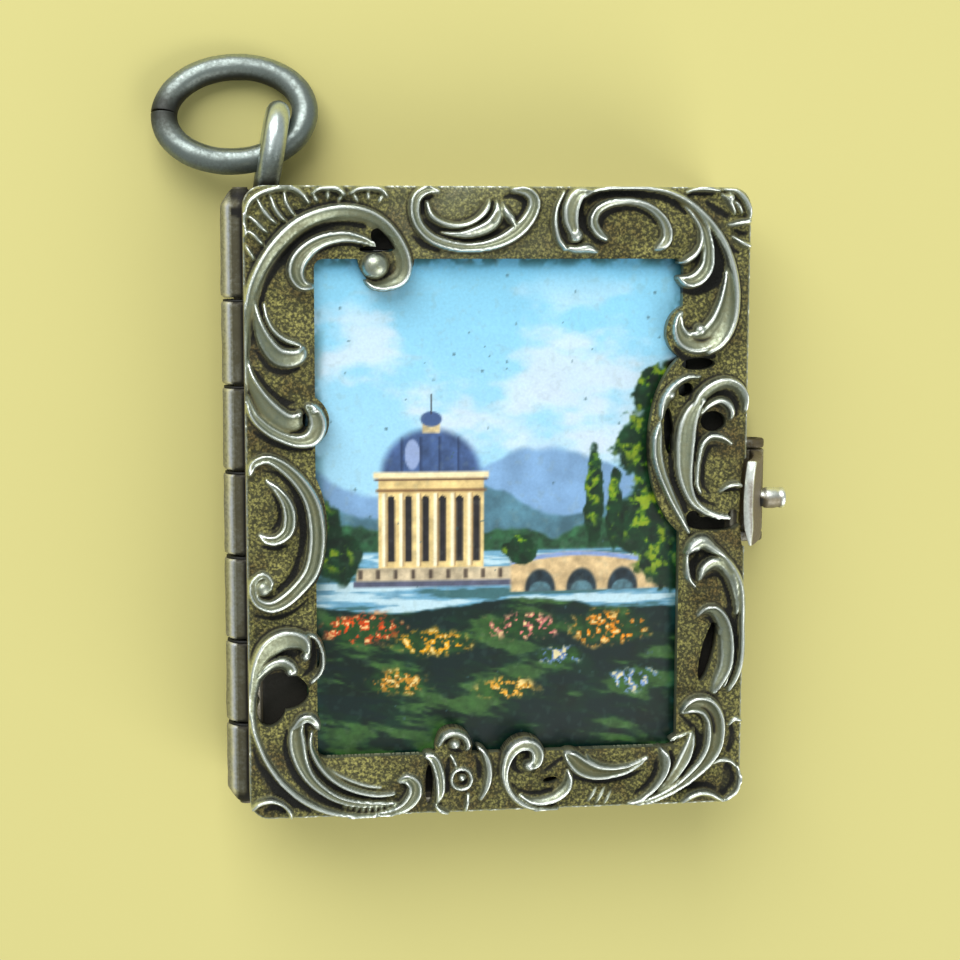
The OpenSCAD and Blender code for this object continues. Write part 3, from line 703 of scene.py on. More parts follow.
def knuckle_tree():
    """Tubes at a pitch along Y, with rounded ends, worn dents and coned outer ends."""
    t = Tree("spine knuckles")
    count, place, material = t.ask("Count", "Int"), t.ask("Place", "Vector"), t.ask("Material", "Material")
    pitch, first, length, last = t.floats("Pitch", "First", "Length", "Last longer")
    radius, edge, dent, seed = t.floats("Radius", "Edge", "Dent", "Seed")
    cone, reach = t.floats("Cone", "Reach")
    half = t.times(length, 0.5)
    low, high = t.joined(0.0, t.times(half, -1.0), 0.0), t.joined(0.0, half, 0.0)
    line = t.add("GeometryNodeResampleCurve", t.add("GeometryNodeCurvePrimitiveLine", low, high), None,
                 TUBE_STEPS)
    share = t.add("GeometryNodeSplineParameter", out=0)
    from_end = t.times(t.minus(0.5, t.math("ABSOLUTE", t.minus(share, 0.5))), length)
    round_off = t.minus(1.0, t.math("MINIMUM", t.math("DIVIDE", from_end, edge), 1.0))
    scale = t.minus(radius, t.times(t.times(round_off, round_off), edge))
    ring = t.add("GeometryNodeCurvePrimitiveCircle", TUBE_SIDES, None, None, None, 1.0)
    tube = t.add("GeometryNodeCurveToMesh", line, ring, scale, True)
    spots = t.add("GeometryNodeMeshLine", count, None, t.joined(0.0, first, 0.0), t.joined(0.0, pitch, 0.0))
    is_last = t.math("GREATER_THAN", t.add("GeometryNodeInputIndex"), t.minus(count, 1.5))
    more = t.times(is_last, last)
    spots = t.add("GeometryNodeSetPosition", spots, None, None, t.joined(0.0, t.times(more, 0.5), 0.0))
    stretch = t.joined(1.0, t.math("DIVIDE", t.plus(length, more), length), 1.0)
    tubes = t.add("GeometryNodeInstanceOnPoints", spots, None, tube, None, None, None, stretch)
    tubes = t.add("GeometryNodeRealizeInstances", tubes)
    at = t.add("GeometryNodeInputPosition")
    along = t.add("ShaderNodeSeparateXYZ", at, out=1)
    past = t.minus(t.math("ABSOLUTE", along), t.minus(reach, cone))
    squeeze = t.minus(1.0, t.times(t.math("MAXIMUM", t.math("DIVIDE", past, cone), 0.0), CONE_SHARE))
    coned = t.vector("MULTIPLY", at, t.joined(squeeze, 1.0, squeeze))
    push = t.times(t.minus(t.drift(at, seed, DENT_SCALE), DENT_LEVEL), dent)
    moved = t.vector("ADD", coned, t.scaled(t.add("GeometryNodeInputNormal"), push))
    moved = t.scaled(t.vector("ADD", moved, place), MM)
    t.finish(t.add("GeometryNodeSetPosition", tubes, None, moved), material)
    return t


knuckle_nodes = knuckle_tree()
print("tree", knuckle_nodes.tree.name)


# %% Knuckles and the discs of painted shade between them
KNUCKLE_EDGE, KNUCKLE_DENT = 0.12, 0.09
NO_CONE, NO_END = 0.001, 99.0  # for a leaf without coned ends
GAP_SHADE_R, GAP_SHADE_HALF, GAP_SHADE_SIDES = 0.72, 0.045, 36


def spine_knuckles(name, start, count, seed):
    """The knuckles of one leaf; the leaf that starts at the first place also has the coned ends."""
    ends = start == 0
    values = {"Count": count, "Pitch": 2 * PITCH, "First": -HINGE_LONG / 2 + start * PITCH + PITCH / 2,
              "Length": PITCH - KNUCKLE_GAP, "Last longer": HINGE_LONG - KNUCKLES * PITCH if ends else 0.0,
              "Radius": BARREL_R, "Edge": KNUCKLE_EDGE, "Dent": KNUCKLE_DENT,
              "Cone": CONE if ends else NO_CONE, "Seed": float(seed),
              "Reach": HINGE_LONG / 2 if ends else NO_END, "Place": (HINGE_X, 0.0, HINGE_Z)}
    return tidy_mesh(grow(name, knuckle_nodes, values, spine_silver))


def spine_gap_shades():
    """Thin discs painted near black as shade in the gaps between the knuckles, so that no light falls
    through.
    """
    points, faces = [], []
    n = GAP_SHADE_SIDES
    for gap in range(1, KNUCKLES):
        y = -HINGE_LONG / 2 + gap * PITCH - KNUCKLE_GAP / 2
        base = len(points)
        for end in (-GAP_SHADE_HALF, GAP_SHADE_HALF):
            points += [(HINGE_X + a, y + end, HINGE_Z + b) for a, b in circle(GAP_SHADE_R, n)]
        faces += [(base + i, base + (i + 1) % n, base + n + (i + 1) % n, base + n + i) for i in range(n)]
        faces += [tuple(range(base + n - 1, base - 1, -1)), tuple(range(base + n, base + 2 * n))]
    return tidy_mesh(add_piece("spine_gap_shades", points, faces))


back_knuckles = spine_knuckles("back_knuckles", 0, 4, 3)
front_knuckles = spine_knuckles("front_knuckles", 1, 3, 11)
gap_shades = spine_gap_shades()


# %% Wear of the spine, with a painted highlight and painted shade
HIGHLIGHT_AT, HIGHLIGHT_WIDE = -0.67, 0.1  # shares of the barrel's radius
JOINT_SHADE, TIP_LONG = 0.9, 0.6


def spine_wear(p, n):
    """Painted highlight along the outer side; painted shade towards the frame, between knuckles, at the ends.
    """
    across = (p.x - HINGE_X) / BARREL_R
    # a painted highlight along the outer side
    line = math.exp(-((across - HIGHLIGHT_AT) / HIGHLIGHT_WIDE) ** 2)
    share = ((p.y + HINGE_LONG / 2) / PITCH) % 1.0
    joint_wide = 0.1 + 0.2 * step(across, -0.9, 0.1)
    near_joint = max(0.0, 1 - min(share, 1 - share) * PITCH / joint_wide)
    inner = step(across, -0.56, -0.44)
    tip = step(abs(p.y), HINGE_LONG / 2 - TIP_LONG, HINGE_LONG / 2 - TIP_LONG / 2)
    outer = 0.2 * step(-across, 0.6, 0.7)
    # painted shade towards the frame, between the knuckles and at the ends, kept to the sides turned up
    dirt = 0.72 * inner + 0.8 * step(across, -0.12, 0.02) + JOINT_SHADE * near_joint * inner
    upward = 0.25 + 0.75 * step(n.z, -0.35, 0.05)
    return (line + outer) * (1 - tip), dirt * upward + 0.4 * tip


for piece, body, node in ((back_knuckles, "back", "back_cover"), (front_knuckles, "front", "front_cover")):
    mark_wear(piece, 0.3, 1.0, 3)
    mark_rule(piece, spine_wear)
    finish_piece(piece, spine_silver, body, node)
# the discs are painted fully dark, as the shade in the gaps
mark_rule(gap_shades, lambda p, n: (0.0, 1.0))
finish_piece(gap_shades, dark_silver, "back", "back_cover")

# %% [markdown]
# ## Links of wire
# The jump ring and the bail loop are both round wire bent to a closed shape. One tree sweeps a wire round
# an oval with straight sides, so the two links differ only in their values. A real jump ring is cut from a
# coil and closed edge to edge, so its sweep leaves a hair-thin joint, dark with tarnish.


# %% Tree: wire link
LINK_STEPS, WIRE_SIDES = 161, 40
SIDE_GAIN = 6.0  # how soon the straight sides are parted
WIRE_DENT_SCALE, WIRE_DENT_LEVEL = 1.1, 0.65


def wire_tree():
    """A closed link of round wire, laid at a place and at two turns."""
    t = Tree("wire link")
    a, b, straight, wire = t.floats("Half long", "Half short", "Straight", "Wire")
    joint, start, dent, seed = t.floats("Joint share", "Joint at", "Dent", "Seed")
    turn, lean, place = [t.ask(name, "Vector") for name in ("Turn", "Lean", "Place")]
    material = t.ask("Material", "Material")
    line = t.add("GeometryNodeCurvePrimitiveLine", (0, 0, 0), (0, 0, 1))
    line = t.add("GeometryNodeResampleCurve", line, None, LINK_STEPS)
    share = t.add("GeometryNodeSplineParameter", out=0)
    run = t.linear(share, t.minus(1.0, joint), t.times(joint, 0.5))
    angle = t.plus(t.times(run, math.tau), t.math("RADIANS", start))
    up = t.math("SINE", angle)
    side = t.math("MAXIMUM", t.math("MINIMUM", t.times(up, SIDE_GAIN), 1.0), -1.0)
    x = t.times(t.math("COSINE", angle), a)
    y = t.plus(t.times(up, b), t.times(side, t.times(straight, 0.5)))
    line = t.add("GeometryNodeSetPosition", line, None, t.joined(x, y, 0.0))
    ring = t.add("GeometryNodeCurvePrimitiveCircle", WIRE_SIDES, None, None, None, wire)
    link = t.add("GeometryNodeCurveToMesh", line, ring)
    link.node.inputs["Fill Caps"].default_value = True
    noise = t.drift(t.add("GeometryNodeInputPosition"), seed, WIRE_DENT_SCALE)
    push = t.times(t.minus(noise, WIRE_DENT_LEVEL), dent)
    link = t.add("GeometryNodeSetPosition", link, None, None,
                 t.scaled(t.add("GeometryNodeInputNormal"), push))
    link = t.add("GeometryNodeTransform", link, None, turn)
    link = t.add("GeometryNodeTransform", link, place, lean)
    t.finish(t.add("GeometryNodeTransform", link, None, None, (MM, MM, MM)), material)
    return t


wire_nodes = wire_tree()
print("tree", wire_nodes.tree.name)


# %% The ring and the bail loop
LOOP_WEAR = 0.065  # the loop's wire is this much thicker than in the CAD model


def wire_link(name, values, turn, lean, place):
    """One link, its turns in degrees."""
    values = {**values, "Place": place}
    for label, degrees in (("Turn", turn), ("Lean", lean)):
        values[label] = tuple(math.radians(v) for v in degrees)
    return tidy_mesh(grow(name, wire_nodes, values, wire_silver))


def loop_place():
    """Where the bail loop stands, leaning about its foot."""
    foot = COVER_H / 2 - LOOP_Y
    swing = Matrix.Rotation(math.radians(-LOOP_LEAN), 3, "Z") @ Vector((0, -foot, 0))
    return tuple(swing + Vector((LOOP_X, LOOP_Y + foot, LOOP_Z)))


RING_VALUES = {"Half long": RING_A, "Half short": RING_B, "Straight": 0.0, "Wire": RING_WIRE,
               "Joint share": 0.004, "Joint at": 172.0, "Dent": 0.05, "Seed": 4.0}
LOOP_VALUES = {"Half long": LOOP_R, "Half short": LOOP_R, "Straight": LOOP_STRAIGHT,
               "Wire": LOOP_WIRE + LOOP_WEAR, "Joint share": 0.002, "Joint at": 270.0,
               "Dent": 0.04, "Seed": 9.0}
ring_wire = wire_link("ring_wire", RING_VALUES, (0, 0, RING_TURN), (-RING_TILT, 0, 0), RING_AT)
bail_loop = wire_link("bail_loop", LOOP_VALUES, (0, 90, 0), (0, 0, -LOOP_LEAN), loop_place())

# %% Wear of the wires, with painted highlights and shade
RING_JOINT = Vector((RING_AT[0] - RING_A, RING_AT[1] + 0.05, RING_AT[2]))
RING_SPOT = Vector((RING_AT[0] + 1.3, RING_AT[1] + 1.75, RING_AT[2] + 0.5))
JOINT_REACH, SPOT_REACH = 1.5, 0.6
LOOP_HIGHLIGHT_AT, LOOP_HIGHLIGHT_WIDE = 0.72, 0.16


def ring_wear(p, n):
    """Painted shade on the side to the foot and inside, a dark joint and stain; a painted highlight to the
    head.
    """
    joint = max(0.0, 1 - (p - RING_JOINT).length / JOINT_REACH)
    spot = max(0.0, 1 - (p - RING_SPOT).length / SPOT_REACH)
    inward = max(0.0, n.dot((Vector(RING_AT) - p).normalized()))
    upper = step(p.y - RING_AT[1], -0.6, 0.8)
    # painted shade on the sides turned to the foot, stronger on the upper arc, and inside the ring
    dark = 0.75 * step(-n.y, 0.0, 0.75) * (0.45 + 0.55 * upper) + 0.25 * inward
    # a painted highlight on the side turned to the head
    rubbed = 0.35 * step(n.y + n.z * 0.5, 0.8, 1.1)
    return rubbed * (1 - joint), dark + 1.3 * joint + 0.8 * spot


def loop_wear(p, n):
    """Painted highlights on its head and flanks; painted shade lower down, darkest at its foot."""
    # painted highlights on the head and along both flanks
    up = step(p.y, COVER_H / 2 + 0.9, COVER_H / 2 + 1.9)
    foot = step(-p.y, -(COVER_H / 2 + 0.55), -(COVER_H / 2 + 0.1))
    edge = math.exp(-((abs(n.x) - LOOP_HIGHLIGHT_AT) / LOOP_HIGHLIGHT_WIDE) ** 2)
    # painted shade on the lower half, darkest at the foot
    return 0.95 * up + 0.55 * edge * (1 - up), 0.2 * (1 - up) + 0.8 * foot


for piece, rule, node in ((ring_wire, ring_wear, "jump_ring"), (bail_loop, loop_wear, "back_cover")):
    mark_rule(piece, rule)
    finish_piece(piece, wire_silver, "back", node)

# %% [markdown]
# ## The hasp and its knob
# The hasp is a narrow bowed plate that swings up over the fore edge. Its section is a rectangle with worn
# corners, swept along the arc in steps. The thumb knob is a short turned stud: a profile spun about its
# axis, with a fine rim at its end and a groove at its foot.


# %% Hasp plate
HASP_BULGE = 0.13  # how far the tip's face is crowned
PLATE_EDGE, PLATE_CORNER, PLATE_ACROSS = 0.08, 4, 12
ARC_STEPS = 30
ARC_ENDS = [(0.0, 0.7), (0.006, 0.9), (0.016, 1.0)]  # share along the arc, share of the thickness
END_NARROWING = 0.4
TIP_FROM = 0.45
THIN_SHARE = 0.75


def hasp_arc():
    """The arc's centre, radius and angles, in the plane across the fore edge."""
    foot, tip = Vector(HASP_FOOT), Vector(HASP_TIP)
    chord = (tip - foot).length
    radius = (chord * chord / 4 + HASP_BOW * HASP_BOW) / (2 * HASP_BOW)
    along = (tip - foot) / chord
    out = Vector((along.y, -along.x))
    eye = (foot + tip) / 2 - out * (radius - HASP_BOW)
    first = math.atan2(foot.y - eye.y, foot.x - eye.x)
    last = math.atan2(tip.y - eye.y, tip.x - eye.x)
    return eye, radius, first, last


def plate_section(width, thick):
    """A rectangle with rounded corners: pairs of (across, out)."""
    points = []
    edge, half_w, half_t = PLATE_EDGE, width / 2 - PLATE_EDGE, thick / 2 - PLATE_EDGE
    corners = ((half_w, half_t, 0), (-half_w, half_t, 90), (-half_w, -half_t, 180), (half_w, -half_t, 270))
    for number, (cx, cy, start) in enumerate(corners):
        for k in range(PLATE_CORNER + 1):
            a = math.radians(start + 90 * k / PLATE_CORNER)
            points.append((cx + edge * math.cos(a), cy + edge * math.sin(a)))
        if number % 2 == 0:
            nx, ny, turn = corners[(number + 1) % 4]
            a = math.radians(turn)
            goal_x, goal_y = nx + edge * math.cos(a), ny + edge * math.sin(a)
            points += [(cx + (goal_x - cx) * (k / PLATE_ACROSS), goal_y) for k in range(1, PLATE_ACROSS)]
    return points


def make_hasp():
    """The bowed plate, drawn in a little at both ends to round its edges."""
    eye, radius, first, last = hasp_arc()
    shares = ARC_ENDS + [(k / ARC_STEPS, 1.0) for k in range(1, ARC_STEPS)]
    shares += [(1 - share, k) for share, k in reversed(ARC_ENDS)]
    rings = []
    for share, k in shares:
        a = first + (last - first) * share
        near_tip = step(share, TIP_FROM, 1.0)
        ring = []
        for side, out in plate_section(HASP_W - (1 - k) * END_NARROWING, HASP_T * k):
            bulge = HASP_BULGE * near_tip * (1 - (2 * side / HASP_W) ** 2)
            thin = 1 - THIN_SHARE * near_tip * step(-side, HASP_W / 2 - 0.75, HASP_W / 2)
            r = radius + out * thin - bulge
            ring.append((eye.x + r * math.cos(a), HASP_MID + side, eye.y + r * math.sin(a)))
        rings.append(ring)
    return tidy_mesh(skin("hasp_plate", rings))


hasp_plate = make_hasp()

# %% Knob and knuckle of the hasp
KNOB_PROFILE = ((0.0, 0.3), (0.15, 0.36), (0.26, 0.36), (0.3, 0.41), (0.4, 0.43), (0.75, 0.43), (0.8, 0.41),
                (0.86, 0.4), (0.92, 0.41), (0.97, 0.43), (1.06, 0.43), (1.11, 0.41), (1.14, 0.37),
                (1.15, 0.3))
KNOB_SIDES, HASP_KNUCKLE_SIDES = 40, 36
KNUCKLE_ROUND = 0.06
eye, radius, first, last = hasp_arc()
knob_turn = first + (last - first) * KNOB_SHARE
knob_at = (eye.x + radius * math.cos(knob_turn), HASP_MID, eye.y + radius * math.sin(knob_turn))
hasp_knob = turned_x("hasp_knob", KNOB_PROFILE, knob_at, KNOB_SIDES)


def knuckle_profile(half, r):
    """A short tube with rounded ends."""
    edge, bit = KNUCKLE_ROUND, KNUCKLE_ROUND * 0.3
    return [(-half, r - edge), (-half + bit, r - bit), (-half + edge, r), (-half * 0.5, r), (0, r),
            (half * 0.5, r), (half - edge, r), (half - bit, r - bit), (half, r - edge)]


hasp_knuckle = turned_y("hasp_knuckle", knuckle_profile(HASP_W / 2, HASP_KNUCKLE_R),
                        (HASP_FOOT[0], HASP_MID, HASP_FOOT[1]), HASP_KNUCKLE_SIDES)


# %% Wear of the hasp, with painted highlights and shade
def plate_wear(p, n):
    """The tip's face: painted highlight at its head end, painted shade below; edges rubbed and painted
    bright.
    """
    face = step(n.z, 0.75, 0.95)
    head = step(p.y, HASP_MID + 0.75, HASP_MID + 1.15)
    edge = step(n.z, 0.5, 0.68) * (1 - step(n.z, 0.85, 0.99))
    # the outer face is painted darker, as shade
    outer = step(n.x, 0.35, 0.7)
    return 0.95 * face * head + 0.8 * edge + 0.1 * face, 0.6 * face * (1 - head) + 0.2 * outer


def knob_wear(p, n):
    """Painted highlight above and on the end rim, painted shade on the sides and below, darkest at the foot.
    """
    out = p.x - knob_at[0]
    rim = step(out, 0.93, 1.0)
    foot = 1 - step(out, 0.1, 0.34)
    return 0.95 * max(step(n.y, 0.05, 0.5), rim), 0.55 * step(-n.y, -0.35, 0.1) * (1 - rim) + 0.8 * foot


mark_wear(hasp_plate, 1.2, 1.0, 1)
mark_rule(hasp_plate, plate_wear)
mark_rule(hasp_knob, knob_wear)
mark_wear(hasp_knuckle, 0.6, 1.0, 1)
# the hasp's knuckle is painted darker, as shade
mark_rule(hasp_knuckle, lambda p, n: (0.0, 0.5))
for piece, finish in ((hasp_plate, hasp_silver), (hasp_knob, worn_silver), (hasp_knuckle, dark_silver)):
    finish_piece(piece, finish, "hasp", "hasp")

# %% [markdown]
# ## The lugs of the hasp
# Two small ears on the back cover hold the hasp's pin. Such an ear is sawn from sheet and filed round, so
# each is a half disc with a straight foot, drawn in a little at both faces.

# %% Lugs
LUG_ROUNDING = ((-1, 0.9), (-0.8, 0.97), (-0.6, 1), (0, 1), (0.6, 1), (0.8, 0.97), (1, 0.9))
LUG_FOOT = COVER_W / 2 - 0.25
LUG_STEPS = 15


def make_lug(name, side):
    """One ear of the back cover that holds the hasp's pin."""
    y = HASP_MID + side * (HASP_W / 2 + LUG_GAP + LUG_T / 2)
    x0, z0 = HASP_FOOT
    r = HASP_KNUCKLE_R
    arc = [(x0 + r * math.sin(a), z0 - r * math.cos(a)) for a in np.linspace(0, math.pi, LUG_STEPS)]
    outline = [(LUG_FOOT, z0 - r)] + arc + [(LUG_FOOT, z0 + r)]
    rings = []
    for d, k in LUG_ROUNDING:
        rings.append([(x0 + (x - x0) * (k if x > LUG_FOOT else 1), y + d * LUG_T / 2, z0 + (z - z0) * k)
                      for x, z in outline])
    return tidy_mesh(skin(name, rings))


for name, side in (("hasp_lug_foot", -1), ("hasp_lug_head", 1)):
    lug = make_lug(name, side)
    mark_wear(lug, 0.6, 1.6, 1)
    # the lugs are painted dark, as shade
    mark_rule(lug, lambda p, n: (0.0, 0.9))
    finish_piece(lug, dark_silver, "back", "back_cover")

# %% [markdown]
# ## The scroll frame
# The real frame was cast from a carved pattern, then pierced with a saw and chased. Its scrolls are ribbons:
# they swell and taper along a curve, and most have two raised rims with a hollow between them. Rounded
# tubes would give none of this, so the frame is a height field: each ribbon is laid on a fine grid of
# heights, and the grid's cells over the metal become the mesh.
#
# Each row below is one ribbon. It has the heights at its right rim, its middle and its left rim, as shares
# of the relief, and then its way as steps of x, y and half width in millimetres.

# %% Ribbons: upper left
RIBBONS = [
    ((.2, .62, 1),
     "-9.98 4.6 .1  -9.98 5.6 .14  -9.92 6.8 .2  -9.8 7.8 .27  -9.55 8.7 .34  -9.1 9.6 .38  "
     "-8.5 10.38 .4  -7.8 10.98 .4  -7 11.32 .39  -6.2 11.47 .37  -5.4 11.38 .35  -4.75 11.05 .33  "
     "-4.25 10.55 .3  -3.92 9.95 .3  -3.82 9.4 .32  -3.98 8.98 .32  -4.4 8.75 .27  -4.95 8.68 .18  "
     "-5.3 8.85 .08"),
    ((.6, .35, 1),
     "-7.4 8.65 .1  -7.8 8.75 .25  -8.02 9.2 .35  -7.85 9.75 .37  -7.4 10.18 .33  -6.8 10.46 .28  "
     "-6.1 10.56 .23  -5.5 10.45 .18  -5.05 10.28 .12  -4.78 10.12 .06"),
    ((.5, .62, 1),
     "-9.62 8.1 .07  -9.5 7.3 .2  -9.2 6.55 .32  -8.75 6 .4  -8.25 5.88 .4  -7.9 6 .3  -7.75 6.25 .12"),
    ((.6, .9, .6), "-9.25 8 .05  -9.15 7.5 .09  -8.9 7 .12  -8.5 6.65 .13  -8.05 6.47 .13  -7.8 6.35 .07"),
    ((.35, .6, 1),
     "-9.9 5.9 .05  -9.8 5.2 .18  -9.45 4.45 .32  -9 3.82 .45  -8.5 3.44 .46  -8.1 3.44 .38  "
     "-7.92 3.68 .18"),
    ((1, .55, .7),
     "-9.95 4.4 .12  -9.65 3.65 .2  -9.15 3.15 .23  -8.55 2.82 .23  -7.95 2.66 .28  -7.45 2.8 .36  "
     "-7.22 3.28 .37  -7.35 3.78 .3  -7.6 4.02 .14"),
]
print(len(RIBBONS), "ribbons so far")

# %% Ribbons: left
RIBBONS += [
    ((.75, .4, 1),
     "-9.85 1.42 .1  -9.7 1.8 .17  -9.2 1.98 .2  -8.65 1.74 .25  -8.12 1.27 .28  -7.68 .67 .31  "
     "-7.4 0 .34  -7.28 -.9 .36  -7.34 -1.8 .36  -7.55 -2.5 .34  -7.98 -3.08 .31  -8.55 -3.6 .3  "
     "-9.1 -3.84 .25  -9.6 -3.66 .19  -9.82 -3.2 .17  -9.73 -2.8 .15  -9.4 -2.6 .14  -9.12 -2.85 .12  "
     "-9.12 -3.2 .07"),
    ((.8, .45, 1),
     "-9.2 1.1 .06  -8.8 .75 .16  -8.46 .25 .24  -8.34 -.3 .28  -8.44 -.85 .27  -8.82 -1.18 .22  "
     "-9.22 -1.2 .18  -9.48 -1.02 .09"),
]
print(len(RIBBONS), "ribbons so far")

# %% Ribbons: lower left
RIBBONS += [
    ((1, .78, .6),
     "-7.8 -6 .1  -7.74 -5.58 .2  -7.98 -5.22 .38  -8.6 -5.16 .47  -9.2 -5.52 .46  -9.6 -6.2 .35  "
     "-9.8 -7 .25  -9.88 -7.8 .17  -9.84 -8.6 .14  -9.66 -9.25 .13  -9.38 -9.95 .13  -8.98 -10.62 .14  "
     "-8.48 -11.22 .14  -7.88 -11.72 .14  -7.2 -12.1 .13  -6.5 -12.34 .11  -5.8 -12.44 .1  -5 -12.46 .08"),
    ((.6, .3, 1),
     "-5 -12.45 .08  -4.4 -12.36 .17  -3.85 -12.12 .27  -3.48 -11.68 .33  -3.46 -11.25 .3  -3.75 -11 .2  "
     "-4.05 -11.08 .08"),
    ((.6, 1, .6),
     "-7.7 -4.95 .06  -7.32 -5.2 .09  -7.1 -5.7 .1  -7.08 -6.25 .1  -7.25 -6.65 .09  -7.55 -6.95 .07"),
    ((.5, .8, 1),
     "-9.78 -7.3 .06  -9.58 -6.72 .14  -9.18 -6.25 .22  -8.72 -6.1 .27  -8.38 -6.28 .26  -8.22 -6.58 .12"),
    ((.55, .3, 1),
     "-7.95 -8.5 .12  -8.15 -8.85 .3  -8.13 -9.45 .38  -8 -10.05 .34  -7.72 -10.68 .28  -7.28 -11.2 .24  "
     "-6.65 -11.65 .2  -5.95 -11.9 .17  -5.2 -12 .14  -4.5 -12.03 .1  -4 -12 .06"),
    ((1, .8, 1), "-8.22 -8.72 .1  -7.98 -8.42 .18  -7.66 -8.33 .21  -7.4 -8.54 .17  -7.3 -8.82 .08"),
    ((.6, 1, .6),
     "-7.55 -8.95 .06  -7.6 -9.5 .1  -7.38 -10.08 .13  -7.02 -10.6 .14  -6.55 -11.02 .14  -6 -11.33 .13  "
     "-5.4 -11.53 .12  -4.8 -11.62 .1  -4.25 -11.6 .06"),
    ((.3, .6, .3), "-6.95 -10.42 .05  -6.45 -10.78 .08  -5.9 -11.05 .09  -5.3 -11.26 .08  -4.8 -11.33 .05"),
    ((.6, 1, .6),
     "-9.95 -12.05 .1  -9.62 -11.76 .14  -9.12 -11.68 .14  -8.68 -11.87 .12  -8.42 -12.2 .11  "
     "-8.38 -12.45 .08"),
]
print(len(RIBBONS), "ribbons so far")

# %% Ribbons: foot
RIBBONS += [
    ((1, .5, .7),
     "-2.98 -10.08 .1  -2.7 -10.2 .2  -2.52 -10.6 .22  -2.42 -11.1 .22  -2.42 -11.6 .19  -2.52 -12 .09"),
    ((.5, .8, 1),
     "-.9 -9.8 .06  -.68 -10.02 .13  -.5 -10.5 .16  -.47 -11 .16  -.58 -11.5 .13  -.78 -11.95 .07"),
    ((.6, .8, 1),
     "-2.48 -9.7 .07  -2.26 -9.32 .16  -1.88 -9.18 .18  -1.48 -9.33 .17  -1.3 -9.68 .13  -1.36 -9.88 .07"),
    ((.6, 1, .6),
     "-1.13 -11.1 .07  -1.25 -10.8 .07  -1.55 -10.68 .07  -1.85 -10.8 .07  -1.97 -11.1 .07  "
     "-1.85 -11.4 .07  -1.55 -11.52 .07  -1.25 -11.4 .07  -1.13 -11.1 .07"),
    ((.6, 1, .6), "-1.28 -11.75 .05  -1.32 -12.1 .08  -1.38 -12.45 .06"),
    ((.6, 1, .6), "-2.62 -12.15 .07  -2.4 -12.35 .14  -2.1 -12.47 .08"),
    ((.6, 1, .6), "-1.98 -10.1 .04  -1.85 -10.35 .07  -1.75 -10.6 .04"),
    ((.9, .7, .9),
     "1.15 -10.68 .12  1.45 -10.45 .26  1.5 -10.05 .3  1.25 -9.75 .28  .8 -9.75 .26  .42 -10.05 .24  "
     ".22 -10.55 .19  .2 -11.1 .16  .36 -11.6 .14  .68 -12.02 .13  1.1 -12.3 .12  1.65 -12.46 .1  "
     "2.4 -12.47 .06"),
    ((1, .6, .4),
     ".85 -11.85 .07  1.3 -12.08 .14  1.8 -12.08 .18  2.3 -11.92 .2  2.68 -11.6 .2  2.82 -11.25 .16  "
     "2.78 -10.9 .06"),
    ((.9, .25, .9),
     "2.72 -10.2 .12  2.98 -10.4 .34  3.35 -10.72 .42  3.85 -10.95 .36  4.45 -11 .27  5.1 -10.92 .2  "
     "5.65 -10.72 .13  6.05 -10.5 .06"),
    ((.6, 1, .6), "3.56 -10.3 .06  3.7 -10.5 .12  4.1 -10.72 .13  4.7 -10.8 .1  5.2 -10.72 .05"),
    ((.2, .4, .2), "3.62 -12.25 .04  3.82 -11.95 .08  4 -11.6 .04"),
    ((.2, .4, .2), "3.95 -12.35 .04  4.15 -12 .08  4.32 -11.65 .04"),
    ((.2, .4, .2), "4.3 -12.4 .04  4.45 -12.1 .07  4.6 -11.8 .04"),
]
print(len(RIBBONS), "ribbons so far")

